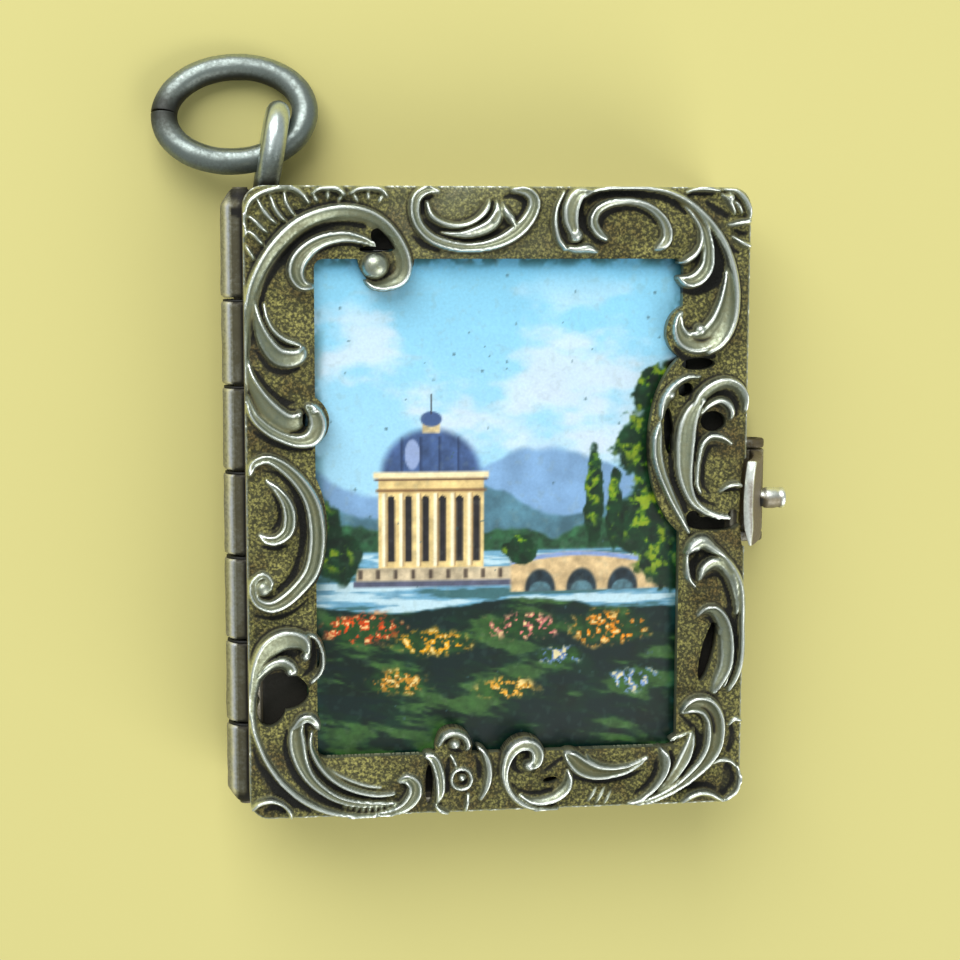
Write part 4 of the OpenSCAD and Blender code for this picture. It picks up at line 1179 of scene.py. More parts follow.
# %% Ribbons: lower right
RIBBONS += [
    ((.4, .7, 1),
     "6.62 -10.15 .1  6.78 -10.5 .22  6.76 -11 .18  6.56 -11.45 .14  6.22 -11.88 .11  5.8 -12.2 .09  "
     "5.3 -12.4 .06"),
    ((.9, .3, 1),
     "7.5 -8.62 .1  7.72 -8.4 .26  8.1 -8.28 .4  8.52 -8.42 .45  8.8 -8.88 .44  8.86 -9.5 .42  "
     "8.76 -10.1 .38  8.42 -10.7 .3  7.95 -11.2 .23  7.38 -11.68 .18  6.75 -12.05 .14  6.1 -12.3 .12  "
     "5.5 -12.43 .07"),
    ((.5, .2, .5),
     "8 -9.35 .06  7.85 -9.95 .2  7.62 -10.55 .28  7.3 -11.1 .26  6.95 -11.55 .18  6.6 -11.9 .08"),
    ((.3, .4, .3), "6.85 -9.95 .05  7.3 -9.7 .1  7.8 -9.5 .05"),
    ((.5, .8, 1),
     "7.55 -12.42 .08  7.85 -12.2 .14  8.25 -12.05 .15  8.65 -12.08 .14  9 -12.27 .11  9.3 -12.45 .06"),
    ((.3, .5, .3), "8.75 -10.85 .08  9.1 -10.7 .1  9.5 -10.75 .1  9.82 -11 .06"),
    ((.6, .8, 1), "9.88 -11 .06  9.93 -11.5 .1  9.8 -12 .1  9.4 -12.35 .08"),
    ((.3, .5, .3), "9.45 -9.25 .05  9.7 -9 .1  9.95 -9.05 .1"),
    ((.7, 1, .8),
     "7.55 -2 .14  7.85 -1.72 .3  8.2 -1.6 .33  8.6 -1.86 .24  9.05 -2.2 .17  9.45 -2.7 .18  "
     "9.75 -3.35 .19  9.86 -4.1 .17  9.9 -5 .13  9.92 -5.9 .13  9.86 -6.6 .14  9.68 -7.2 .13  "
     "9.4 -7.75 .08"),
    ((.6, 1, .6), "7.58 -2.05 .08  7.55 -2.6 .12  7.66 -3.1 .12  7.95 -3.45 .06"),
    ((.5, .8, 1),
     "8.12 -3.12 .1  8.28 -2.72 .25  8.68 -2.48 .3  9.08 -2.65 .28  9.38 -3.2 .22  9.58 -3.9 .14  "
     "9.65 -4.6 .07"),
    ((.4, .55, 1),
     "8.08 -4.65 .06  8.35 -4.42 .16  8.72 -4.42 .24  9.05 -4.82 .29  9.22 -5.4 .31  9.26 -6.1 .31  "
     "9.18 -6.75 .29  8.95 -7.3 .24  8.75 -7.75 .14"),
    ((.6, 1, .6), "9.45 -5.4 .05  9.52 -6.2 .09  9.45 -6.9 .09  9.2 -7.6 .06"),
    ((.6, 1, .6), "9.05 -5.6 .04  9.1 -6.3 .07  8.98 -6.95 .07  8.75 -7.45 .05"),
]
print(len(RIBBONS), "ribbons so far")

# %% Ribbons: right
RIBBONS += [
    ((.35, .75, 1),
     "7.75 3.8 .12  8.02 4.22 .28  8.45 4.6 .3  9 4.8 .27  9.5 4.64 .23  9.8 4.2 .2  9.84 3.7 .12"),
    ((.6, .9, .8), "7.98 3.5 .08  8.3 3.86 .14  8.75 4.08 .16  9.12 3.95 .19  9.3 3.62 .16  9.28 3.35 .08"),
    ((.8, .6, .9),
     "8.15 4.25 .08  7.75 3.8 .3  7.5 3.2 .42  7.4 2.5 .45  7.38 1.8 .43  7.4 1.2 .38  7.52 .6 .27  "
     "7.78 .05 .19  8.22 -.33 .16  8.75 -.57 .14  9.3 -.66 .1"),
    ((1, .7, .4),
     "9.35 2.32 .06  8.95 2.55 .14  8.5 2.62 .17  8.18 2.35 .17  8.03 1.8 .15  7.96 1.25 .14  "
     "7.95 .75 .13  8.1 .38 .08"),
    ((1, .55, .6),
     "6.4 3.15 .1  6.28 2.6 .22  6.3 1.9 .24  6.46 1.25 .22  6.72 .6 .2  7 0 .17  7.3 -.55 .14  "
     "7.65 -1.2 .08"),
    ((1, .7, .4), "8 5.02 .06  7.5 5 .13  7.05 4.75 .16  6.72 4.35 .22  6.52 3.9 .2  6.45 3.4 .1"),
    ((.6, 1, .6), "8.9 .4 .05  9.2 .64 .12  9.55 .7 .12  9.85 .6 .06"),
]
print(len(RIBBONS), "ribbons so far")

# %% Ribbons: upper right
RIBBONS += [
    ((.6, 1, .6),
     "3.3 12.25 .07  4 12.42 .1  5 12.46 .1  6 12.42 .11  6.75 12.24 .14  7.45 11.86 .16  "
     "8.05 11.34 .18  8.55 10.75 .19  8.92 10.14 .19  9.18 9.45 .2  9.33 8.75 .2  9.37 8.05 .2  "
     "9.3 7.35 .2  9.08 6.75 .2  8.75 6.3 .18  8.3 6 .12"),
    ((.8, .35, .7),
     "9 9.5 .05  9.05 8.9 .2  9.02 8.3 .33  8.92 7.7 .44  8.68 7.1 .52  8.25 6.6 .56  7.75 6.42 .5  "
     "7.3 6.55 .38  7.08 6.95 .25  7.1 7.35 .15  7.2 7.6 .06"),
    ((.9, .7, 1), "3.45 12.3 .12  2.98 12.2 .3  2.72 11.75 .36  2.68 11.25 .33  2.78 10.85 .26"),
    ((.6, 1, .6), "2.45 12.3 .06  2.15 11.7 .1  2.08 11.1 .13  2.2 10.5 .14  2.5 10.1 .1"),
    ((.5, .6, .5), "2.4 10.15 .06  2.9 10.08 .16  3.4 10.12 .2  3.75 9.98 .08"),
    ((.7, .45, 1),
     "6.95 12.05 .06  7.5 11.62 .14  7.88 11.15 .2  8.12 10.6 .24  8.22 10 .27  8.15 9.4 .3  "
     "7.85 8.98 .32  7.45 8.82 .26  7.12 8.95 .1"),
    ((.6, 1, .6), "7.85 10.75 .05  7.9 10.3 .11  7.7 9.92 .15  7.35 9.65 .14  7.1 9.55 .06"),
    ((.6, .6, 1),
     "4.12 10.5 .12  3.82 10.72 .2  3.6 11.12 .22  3.75 11.55 .19  4.2 11.83 .17  4.85 11.92 .15  "
     "5.5 11.84 .15  6.05 11.55 .17  6.42 11.12 .2  6.55 10.65 .23  6.42 10.3 .22  6.15 10.12 .1"),
]
print(len(RIBBONS), "ribbons so far")

# %% Ribbons: head
RIBBONS += [
    ((1, .45, .6),
     "-2.5 12.3 .1  -2.95 12.35 .2  -3.35 12.05 .23  -3.42 11.5 .22  -3.22 10.95 .21  -2.75 10.5 .21  "
     "-2.1 10.25 .21  -1.4 10.16 .21  -.65 10.22 .22  .05 10.45 .26  .65 10.85 .3  1.1 11.4 .28  "
     "1.25 11.95 .24  .95 12.3 .2  .45 12.35 .12"),
    ((.6, 1, .6),
     "-2.95 11.9 .08  -2.78 11.4 .14  -2.38 11.12 .14  -1.88 11 .14  -1.38 11.05 .14  -.95 11.28 .14  "
     "-.65 11.6 .15  -.5 11.95 .07"),
    ((.5, .75, .8),
     "-2.4 10.72 .05  -1.7 10.62 .16  -1.05 10.75 .24  -.5 11 .28  -.18 11.4 .26  -.2 11.85 .1"),
    ((.6, 1, .6), ".02 11.85 .06  .12 11.55 .17  .32 11.28 .18  .5 10.98 .08"),
]
print(len(RIBBONS), "ribbons so far")

# %% Ribbons: shells in the corners and along the head
RIBBONS += [
    ((.5, .8, 1),
     "-9.9 10.6 .06  -9.93 11.3 .1  -9.75 11.85 .12  -9.3 12.2 .12  -8.6 12.4 .13  -8.1 12.38 .14  "
     "-7.75 12.15 .12  -7.5 11.85 .07"),
    ((.6, 1, .6), "-9.45 11.98 .05  -9.25 11.6 .1  -8.95 11.25 .1  -8.72 11.05 .04"),
    ((.6, 1, .6), "-8.95 12.1 .05  -8.78 11.65 .1  -8.55 11.32 .1  -8.35 11.12 .04"),
    ((.6, 1, .6), "-8.42 12.22 .05  -8.35 11.85 .09  -8.15 11.52 .08  -8 11.35 .04"),
    ((.6, 1, .6), "-9.8 11.35 .04  -9.55 11.15 .09  -9.25 10.85 .09  -9.05 10.7 .04"),
    ((.6, 1, .6), "-9.88 10.8 .04  -9.6 10.62 .09  -9.35 10.35 .08  -9.2 10.2 .03"),
    ((.6, 1, .6), "-9.92 10.2 .04  -9.75 9.95 .08  -9.6 9.7 .05"),
    ((.6, 1, .6), "-7.35 12.2 .06  -7.1 12.38 .1  -6.7 12.42 .12  -6.35 12.38 .15  -6.12 12.15 .08"),
    ((.6, 1, .6), "-5.9 12.2 .06  -5.6 12.38 .1  -5.1 12.42 .12  -4.7 12.36 .14  -4.48 12.12 .08"),
    ((.6, 1, .6), "7.35 12.3 .05  7.7 12.42 .1  8.2 12.44 .12  8.65 12.38 .08"),
    ((.6, .9, 1), "8.85 12.42 .06  9.3 12.35 .12  9.65 12.05 .13  9.88 11.6 .12  9.9 11.2 .06"),
    ((.6, 1, .6), "8.78 12.2 .07  9 11.98 .14  9.2 11.68 .1  9.32 11.45 .04"),
    ((.6, 1, .6), "9.2 12 .05  9.42 11.8 .09  9.6 11.5 .05"),
    ((.6, 1, .6), "9.05 11.02 .05  9.4 11.1 .12  9.85 11.18 .14"),
    ((.6, 1, .6), "9.25 10.55 .05  9.55 10.35 .12  9.88 10.2 .13"),
]
print(len(RIBBONS), "ribbons")

# %% Dark channels beside the scrolls, shallow grooves painted as shade: steps of x, y and half width
CHANNELS = [
    "-9.3 7.6 .08  -9.25 8.4 .13  -8.9 9.2 .18  -8.3 9.95 .19  -7.6 10.6 .17  -6.9 10.98 .13  "
    "-6.1 11.06 .11  -5.4 10.98 .14",
    "-7.35 9.9 .06  -6.8 10.15 .1  -6.1 10.28 .1  -5.5 10.2 .12",
    "-9.6 6.2 .06  -9.1 5.5 .14  -8.5 5.3 .15  -7.9 5.5 .08",
    "-9.55 5.4 .05  -9 4.65 .1  -8.5 4.22 .14  -8.1 4.15 .08",
    "-9.7 3 .08  -9 2.58 .12  -8.3 2.36 .12  -7.5 2.35 .1",
    "-9.4 1.5 .06  -8.8 1.35 .1  -8.2 .8 .13  -7.88 .1 .14  -7.82 -.8 .14  -7.95 -1.8 .14  "
    "-8.3 -2.7 .14  -8.8 -3.2 .1",
    "-7.5 -3.5 .06  -8.2 -4.1 .12  -9 -4.36 .13  -9.7 -4.25 .1",
    "-9 .6 .05  -8.75 .1 .1  -8.72 -.4 .1  -9 -.8 .08", "-8.3 -1.42 .06  -8.9 -1.6 .12  -9.5 -1.5 .08",
    "-9.9 -9.4 .05  -9.72 -10.1 .12  -9.35 -10.8 .2  -8.85 -11.4 .22  -8.25 -11.9 .18  -7.6 -12.28 .1",
    "-8.5 -8.9 .08  -8.6 -9.7 .14  -8.32 -10.6 .17  -7.82 -11.25 .17  -7.1 -11.78 .14  -6.4 -12.12 .1",
    "-7.75 -9.7 .06  -7.62 -10.25 .12  -7.28 -10.78 .12  -6.8 -11.2 .11  -6.2 -11.5 .1  -5.4 -11.72 .08",
    "-9.62 -6.45 .06  -9.12 -5.97 .1  -8.6 -5.78 .1  -8.15 -5.82 .08",
    "-7.5 -5.3 .05  -7.42 -5.9 .13  -7.55 -6.4 .15  -7.85 -6.7 .1",
    "-9.4 -12.15 .1  -9.05 -12.05 .17  -8.7 -12.2 .14", "-2.1 -9.85 .06  -1.75 -9.95 .1  -1.45 -10 .06",
    "-1 -10.15 .06  -.85 -10.6 .12  -.82 -11.1 .1",
    "-1.62 -10.82 .05  -1.48 -10.88 .09  -1.4 -11.25 .09  -1.6 -11.35 .05",
    "-2.05 -10.3 .08  -2.1 -10.9 .1  -2.1 -11.6 .1", ".95 -11 .08  .66 -10.8 .14  .6 -10.4 .1",
    "1.9 -10.9 .12  2.25 -10.65 .14  2.55 -10.4 .08",
    ".55 -11.4 .06  .9 -11.7 .08  1.5 -11.8 .1  2.1 -11.7 .1",
    "3.1 -11.25 .08  3.9 -11.46 .1  4.7 -11.42 .13  5.4 -11.25 .14  6 -11 .08",
    "6.45 -10.6 .06  6.4 -11.1 .12  6.1 -11.6 .12  5.6 -12 .1",
    "7.45 -8.8 .08  7.9 -9.2 .14  8.22 -9.7 .15  8.25 -10.2 .15  8 -10.7 .15  7.5 -11.3 .12",
    "7.95 -8.46 .06  8.4 -8.52 .1  8.72 -8.95 .1  8.82 -9.5 .08",
    "7.1 -10.3 .1  7.12 -10.9 .12  6.8 -11.5 .1", "9.45 -10.98 .18  9.5 -11.5 .3  9.3 -12 .22",
    "9.6 -9.35 .14  9.66 -9.8 .2  9.5 -10.3 .16",
    "7.3 -11.95 .08  7.9 -11.75 .14  8.6 -11.72 .14  9 -11.9 .1",
    "9.3 -4.4 .05  9.58 -5.1 .1  9.7 -5.9 .1  9.64 -6.6 .08", "8.3 -4.76 .06  8.62 -4.86 .1  8.88 -5.3 .08",
    "8.7 4.36 .05  9.2 4.32 .1  9.5 3.92 .11  9.52 3.5 .08",
    "9 2.2 .06  8.55 2.22 .1  8.3 1.8 .13  8.22 1.2 .13  8.25 .7 .12  8.5 .3 .1",
    "7.78 2.3 .04  7.76 1.6 .1  7.74 1 .12  7.9 .4 .1  8.3 .05 .1  8.8 -.2 .08",
    "6.9 1.9 .08  6.95 1.3 .12  7.1 .7 .13  7.35 .1 .1  7.55 -.4 .12", "9 .38 .05  9.4 .45 .1  9.8 .4 .08",
    "8.05 -2.2 .08  7.85 -2.6 .16  7.9 -3.1 .12", "8.55 -2.14 .06  9 -2.38 .1  9.35 -2.85 .08",
    "8.3 -3.25 .05  8.7 -3.03 .1  9.1 -3.2 .11  9.35 -3.9 .11  9.45 -4.5 .08",
    "3.45 11.9 .1  4 12.2 .13  5 12.24 .13  6 12.16 .16  6.7 11.95 .16  7.3 11.5 .1",
    "6.9 12.02 .1  7.5 11.72 .14  8 11.22 .18  8.38 10.7 .22  8.63 10.1 .26  8.7 9.4 .28  8.52 8.8 .25  "
    "8.1 8.45 .2  7.6 8.35 .15  7.15 8.45 .08",
    "3.95 10.95 .1  4.05 11.3 .14  4.5 11.58 .14  5.2 11.65 .12  5.8 11.42 .1  6.1 11.1 .08",
    "3.2 12 .08  3.15 11.5 .12  3.3 10.9 .13  3.8 10.42 .15  4.15 10.32 .08",
    "7.45 6.88 .05  7.7 6.56 .08  8.1 6.48 .08  8.4 6.6 .05",
    "7 6.12 .1  7.4 5.74 .16  8 5.68 .14  8.6 5.8 .12", "8.2 11.9 .12  8.6 11.62 .18  9 11.38 .14",
    "7.45 12.24 .06  7.9 12.26 .1  8.4 12.22 .08", "9.3 10.82 .06  9.55 10.72 .12  9.85 10.68 .1",
    "9.2 10.15 .06  9.5 9.95 .1",
    "-2.98 11.15 .08  -2.5 10.8 .14  -1.95 10.62 .14  -1.4 10.4 .1  -.7 10.48 .1  -.1 10.75 .08",
    "-2.75 12.1 .08  -3 11.95 .12  -3.12 11.5 .08",
    ".1 12.08 .1  .5 12.12 .15  .9 11.88 .13  .85 11.45 .12  .6 11.2 .08",
    "-.35 11.9 .06  -.25 11.5 .1  -.35 11.2 .1", "-3.5 10.6 .06  -3.1 10.25 .14  -2.5 10 .1",
    "-9.3 11.75 .04  -9.05 11.4 .08  -8.75 11.15 .06", "-8.75 11.9 .04  -8.6 11.5 .08  -8.4 11.25 .06",
    "-8.3 11.7 .05  -8 11.5 .07  -7.75 11.6 .06",
]
print(len(CHANNELS), "channels")

# %% Beads, flutes, lobes and piercings
# beads: x, y, radius and height
BEADS = [
    (-4.95, 9.45, .53, 1), (-9.4, -3.12, .33, .7), (-7.75, -5.85, .2, 1), (-8.36, -6.45, .22, .95),
    (-1.85, -9.6, .24, 1), (-1.5, -11.05, .16, .5), (1.18, -10.6, .25, 1), (2.9, 10.62, .3, .95),
    (9.05, 12.08, .22, 1), (7.95, 6.9, .27, .85), (6.75, 4.35, .24, .9), (7.9, -1.75, .28, 1),
    (-7.95, 3.72, .16, 1), (-7.35, 3.88, .2, 1), (8.05, 4.12, .2, .9),
]
# fans of flutes: x, y, inner and outer radius, from, to, count
FLUTES = [
    (-6.75, 11.2, .8, 1.1, 60, 120, 3), (-5.2, 11.2, .8, 1.1, 60, 120, 3),
    (-5.2, -9.6, 2.46, 2.7, 247, 290, 9),
]
# lobes that reach into the window, and sawn openings: x, y, half sizes and, for some, a turn
LOBES = [
    (8.2, 2.3, 2.2, 3.9), (7.8, 6.8, 1.15, 1.15), (-4.5, 9.75, 1.1, 1.1), (-7.8, 3.4, 1.05, 1.05),
    (-8.7, -.9, 1.85, 3.2), (-1.85, -9.8, .75, .75), (1, -10.4, .85, .85),
]
PIERCINGS = [
    (-8.66, -7.33, 1.04, .78, -8), (-9.1, -8.0, .78, .56, 74), (8.62, 3.22, .53, .42, -6),
    (8.7, -.92, 1.1, .3, 0), (9.52, -.72, .28, .36, 0), (7.88, -.72, .3, .34, 20),
    (8.55, -6.2, .27, 1.25, -13), (6.8, 2.85, .2, .95, 3), (7.48, 4.5, .32, .26, 30),
    (-4.62, 10.42, .56, .36, -42), (-5.05, 10.06, .5, .13, 0), (7.98, 5.52, .68, .24, 2),
    (-2.84, -11.35, .16, .85, 0), (-7.68, 3.45, .13, .28, 10), (2.1, -11.32, .3, .13, 8),
]
print(len(BEADS), "beads,", len(PIERCINGS), "openings")

# %% Height field
STEP = 0.0521
NX, NY = int(round(COVER_W / STEP)), int(round(COVER_H / STEP))
GX, GY = np.meshgrid(np.linspace(-HALF_W, HALF_W, NX + 1), np.linspace(-HALF_H, HALF_H, NY + 1))
WAY_STEPS, WAY_PAD, SHORTEST = 14, 0.1, 1e-12
THINNEST, FULL_HALF, THINNING = 0.03, 0.2, 0.55  # a ribbon's end is lower where its half width is small


def table_row(text):
    """Steps of x, y and half width from one row of a table."""
    return np.array(text.split(), float).reshape(-1, 3)


def smooth_way(steps):
    """A smooth curve through the steps."""
    steps = np.asarray(steps, float)
    q = np.vstack([2 * steps[0] - steps[1], steps, 2 * steps[-1] - steps[-2]])
    t = np.linspace(0, 1, WAY_STEPS, endpoint=False)[:, None]
    parts = []
    for k in range(len(steps) - 1):
        a, b, c, d = q[k:k + 4]
        parts.append(0.5 * (2 * b + (c - a) * t + (2 * a - 5 * b + 4 * c - d) * t ** 2
                            + (3 * b - a - 3 * c + d) * t ** 3))
    return np.vstack(parts + [steps[-1:]])


def section(t, rims):
    """Height across a ribbon, from its right edge at -1 to its left edge at 1."""
    right, middle, left = rims
    if middle >= max(right, left):
        return middle * np.sqrt(np.clip(1 - t * t, 0, 1))
    at = (-1.04, -1, -0.86, -0.66, -0.3, 0, 0.3, 0.66, 0.86, 1, 1.04)
    high = (0, 0, max(right * 0.8, 0.25), right, 0.25 * right + 0.75 * middle, middle,
            0.25 * left + 0.75 * middle, left, max(left * 0.8, 0.25), 0, 0)
    return np.interp(t, at, high)


def grid_window(low, high):
    """The rows and columns of the grid between two corners."""
    i0, i1 = (int(np.clip((x + HALF_W) / STEP, 0, NX)) for x in (low[0], high[0]))
    j0, j1 = (int(np.clip((y + HALF_H) / STEP, 0, NY)) for y in (low[1], high[1]))
    return slice(j0, j1 + 2), slice(i0, i1 + 2)


def lay_ribbon(heights, steps, rims, high):
    """Raises one ribbon on the grid, up to a height; narrow ends are lower."""
    way = smooth_way(steps)
    pad = way[:, 2].max() + WAY_PAD
    window = grid_window(way[:, :2].min(axis=0) - pad, way[:, :2].max(axis=0) + pad)
    x, y = GX[window], GY[window]
    near, raised = np.full(x.shape, np.inf), np.zeros(x.shape)
    for a, b in zip(way[:-1], way[1:]):
        dx, dy = b[0] - a[0], b[1] - a[1]
        long = dx * dx + dy * dy
        if long < SHORTEST:
            continue
        u = np.clip(((x - a[0]) * dx + (y - a[1]) * dy) / long, 0, 1)
        qx, qy = x - a[0] - u * dx, y - a[1] - u * dy
        half = np.clip(a[2] + (b[2] - a[2]) * u, THINNEST, None)
        off = np.hypot(qx, qy) / half
        side = np.where(dx * qy - dy * qx > 0, 1.0, -1.0)
        h = section(side * off, rims) * high * np.clip(half / FULL_HALF, 0, 1) ** THINNING
        raised = np.where(off < near, h, raised)
        near = np.minimum(near, off)
    heights[window] = np.maximum(heights[window], raised)


print("grid of", NX, "by", NY, "cells")


# %% Distances and blur
def oval(x, y, a, b, turn=0.0):
    """Rough distance outside an ellipse, below zero inside it."""
    c, s = math.cos(math.radians(turn)), math.sin(math.radians(turn))
    u, v = ((GX - x) * c + (GY - y) * s) / a, (-(GX - x) * s + (GY - y) * c) / b
    return (np.hypot(u, v) - 1) * min(a, b)


def box_distance(y, a, b, r):
    """Distance outside a rounded rectangle of half sizes a and b, with its middle at height y."""
    u, v = np.abs(GX) - (a - r), np.abs(GY - y) - (b - r)
    return np.hypot(np.maximum(u, 0), np.maximum(v, 0)) + np.minimum(np.maximum(u, v), 0) - r


def blur(values, sigma):
    """Gaussian blur with a spread in millimetres."""
    reach = int(math.ceil(3 * sigma / STEP))
    kernel = np.exp(-0.5 * (np.arange(-reach, reach + 1) * STEP / sigma) ** 2)
    kernel /= kernel.sum()
    for axis in (0, 1):
        padded = np.pad(values, [(reach, reach) if k == axis else (0, 0) for k in (0, 1)], mode="edge")
        long = values.shape[axis]
        values = sum(np.take(padded, range(k, k + long), axis=axis) * w for k, w in enumerate(kernel))
    return values


print("blur and distances act on", GX.size, "points")

# %% Lay the relief
RELIEF = 0.6
FLUTE_HIGH, FLUTE_RIMS, FLUTE_HALVES = 0.3, (0.6, 1, 0.6), (0.05, 0.09, 0.06)
CHANNEL_GAIN, CHANNEL_BLUR = 1.5, 0.05
BEAD_FLATNESS = 0.4
heights = np.zeros(GX.shape)
for rims, way in RIBBONS:
    lay_ribbon(heights, table_row(way), rims, RELIEF)
for x, y, r, high in BEADS:
    away = np.hypot(GX - x, GY - y) / r
    heights = np.maximum(heights, RELIEF * high * np.clip(1 - away * away, 0, 1) ** BEAD_FLATNESS)
for x, y, inner, outer, first, last, count in FLUTES:
    radii = (inner, (inner + outer) / 2, outer)
    for a in np.radians(np.linspace(first, last, count)):
        way = [(x + r * math.cos(a), y + r * math.sin(a), half) for r, half in zip(radii, FLUTE_HALVES)]
        lay_ribbon(heights, way, FLUTE_RIMS, FLUTE_HIGH)
channels = np.zeros(GX.shape)
for way in CHANNELS:
    lay_ribbon(channels, table_row(way), (1, 1, 1), 1.0)
channels = blur(np.clip(channels * CHANNEL_GAIN, 0, 1), CHANNEL_BLUR)
print("relief up to", round(float(heights.max()), 2), "mm on", heights.size, "points")

# %% [markdown]
# ## From heights to metal
# A distance field says where metal is: inside the cover's outline, outside the window or on a lobe, and not
# in a sawn hole unless a scroll bridges it. Cells on the metal are kept, and the border's points slide to
# the line where the distance is zero, so that sawn edges run smoothly. The border is then drawn down to the
# frame's flat underside.

# %% Where the metal is
WINDOW_CORNER = 0.35
HASP_PLAY = 0.05
SCROLL_BLUR, SCROLL_LEVEL, SCROLL_SLOPE = 0.05, 0.1, 0.6  # a scroll is metal even over the window
BRIDGE_BLUR, BRIDGE_LEVEL, BRIDGE_SLOPE = 0.06, 0.2, 0.5  # and bridges a sawn hole
START_LOW, START_HIGH = 8, 6  # rows below the upper edge
GROW_STEPS, CORNER_PASSES = 40, 6
cover_outline = box_distance(0, HALF_W, HALF_H, CORNER_R)
crown = HASP_BULGE * np.clip(1 - (2 * (GY - HASP_MID) / HASP_W) ** 2, 0, 1)
behind_hasp = HASP_TIP[0] - HASP_T / 2 - HASP_PLAY - crown - GX
beside_hasp = np.maximum(NOTCH_LOW[1] - GY, GY - NOTCH_HIGH[1])
outline = np.maximum(cover_outline, -np.maximum(behind_hasp, beside_hasp))
window = box_distance(-WINDOW_DROP, WINDOW_W / 2, WINDOW_H / 2, WINDOW_CORNER)
lobes = np.min([oval(*row) for row in LOBES], axis=0)
on_scroll = SCROLL_SLOPE * (SCROLL_LEVEL - blur(heights, SCROLL_BLUR))
sawn = np.min([oval(*row) for row in PIERCINGS], axis=0)
hole = np.maximum(sawn, BRIDGE_SLOPE * (blur(heights, BRIDGE_BLUR) - BRIDGE_LEVEL))
metal = np.maximum(np.maximum(outline, np.minimum(np.minimum(-window, lobes), on_scroll)), -hole)
middle = (metal[:-1, :-1] + metal[1:, :-1] + metal[:-1, 1:] + metal[1:, 1:]) / 4


def largest_patch(mask):
    """Keeps the one connected patch that starts at the frame's upper edge."""
    found = np.zeros_like(mask)
    start = (slice(NY - START_LOW, NY - START_HIGH), NX // 2)
    found[start] = mask[start]
    while True:
        grown = found.copy()
        for _ in range(GROW_STEPS):
            grown[1:] |= grown[:-1]
            grown[:-1] |= grown[1:]
            grown[:, 1:] |= grown[:, :-1]
            grown[:, :-1] |= grown[:, 1:]
            grown &= mask
        if (grown == found).all():
            return found
        found = grown


def part_corners(mask):
    """Fills one cell wherever two cells meet only at a corner."""
    for _ in range(CORNER_PASSES):
        a, b, c, d = mask[:-1, :-1], mask[1:, 1:], mask[1:, :-1], mask[:-1, 1:]
        first, second = a & b & ~c & ~d, c & d & ~a & ~b
        mask[1:, :-1] |= first
        mask[:-1, :-1] |= second
    return mask


cells = part_corners(largest_patch(middle < 0))
print("metal on", int(cells.sum()), "of", cells.size, "cells")

# %% Heights of the surface
ROUNDING = 0.09  # radius of the sawn edges
SOFT_BLUR, CHANNEL_DEPTH = 0.035, 0.1
STIPPLE_SEED, STIPPLE_BLUR, STIPPLE_DEPTH = 5, 0.04, 0.12
STIPPLE_FADE, STIPPLE_LEAST, GROUND_REACH = 0.1, 0.1, 1.3
SCROLL_FROM, SCROLL_ROUNDING = 0.15, 0.5
SURFACE_DROP, TOP_GAP = 0.03, 0.01
rounding = np.exp(-(np.minimum(metal, 0) / ROUNDING) ** 2) * ROUNDING
soft = blur(heights, SOFT_BLUR) - CHANNEL_DEPTH * channels
stipple = blur(np.random.RandomState(STIPPLE_SEED).rand(*GX.shape) - 0.5, STIPPLE_BLUR)
stipple = stipple * np.clip(GROUND_REACH - soft / STIPPLE_FADE, STIPPLE_LEAST, 1)
edge_drop = rounding * np.where(soft > SCROLL_FROM, SCROLL_ROUNDING, 1.0)
surface_z = GROUND_Z + soft - SURFACE_DROP + stipple * STIPPLE_DEPTH - edge_drop
tops = np.minimum(surface_z, RELIEF_TOP - TOP_GAP)
print("surface from", round(float(tops.min()), 2), "to", round(float(tops.max()), 2), "mm")

# %% Masks of the frame
CREST_BENDS = ((0.075, 16), (0.2, 1.6))  # a blur's spread and its gain
HOLLOW_BENDS = ((0.1, 6), (0.35, 2.4))
CREST_LEVEL, CREST_FULL, CHANNEL_SHADE = 0.12, 0.15, 0.62
RIM_WIDE, FRAME_RIM_HIGHLIGHT = 0.055, 0.85
GROUND_FADE = 0.07
# where and how much the ground is painted lighter at the head, as light from above
HEAD_FROM, HEAD_LONG, HEAD_X, HEAD_HALF, HEAD_LIGHTENING = 9, 1.2, -1.5, 5, 0.4


def bends(rows):
    """How far each point stands above its blurred surroundings, at each row's spread and gain."""
    return sum((soft - blur(soft, spread)) * gain for spread, gain in rows)


crest_mask = np.clip(bends(CREST_BENDS) - CREST_LEVEL, 0, 1) * np.clip(soft / CREST_FULL, 0, 1)
# the channels add painted shade to the hollow mask
hollow_mask = np.clip(CHANNEL_SHADE * channels - bends(HOLLOW_BENDS), 0, 1)
rim = np.exp(-(np.minimum(cover_outline, 0) / RIM_WIDE) ** 2)
# a painted highlight along the frame's outer edge
crest_mask = np.maximum(crest_mask, FRAME_RIM_HIGHLIGHT * rim)
hollow_mask *= 1 - rim
# the ground is painted lighter along the head's middle, as light falling from above
painted_head_light = np.clip((GY - HEAD_FROM) / HEAD_LONG, 0, 1) * np.clip(1 - np.abs(GX - HEAD_X) / HEAD_HALF, 0, 1)
ground_mask = np.clip(GROUND_REACH - soft / GROUND_FADE, 0, 1) * (1 - rim) * (1 - HEAD_LIGHTENING * painted_head_light)
frame_masks = {"crest": crest_mask, "hollow": hollow_mask, "ground": ground_mask}
print("masks", {name: round(float(mask[:-1, :-1][cells].mean()), 3) for name, mask in frame_masks.items()})

# %% Border, walls and underside
SLIDE_SHARE, LEAST_SLOPE = 0.6, 0.05
WALL_BAND = 0.07
WALL_SHARES = (0.2, 1, 0)  # what is left of each mask below the edge


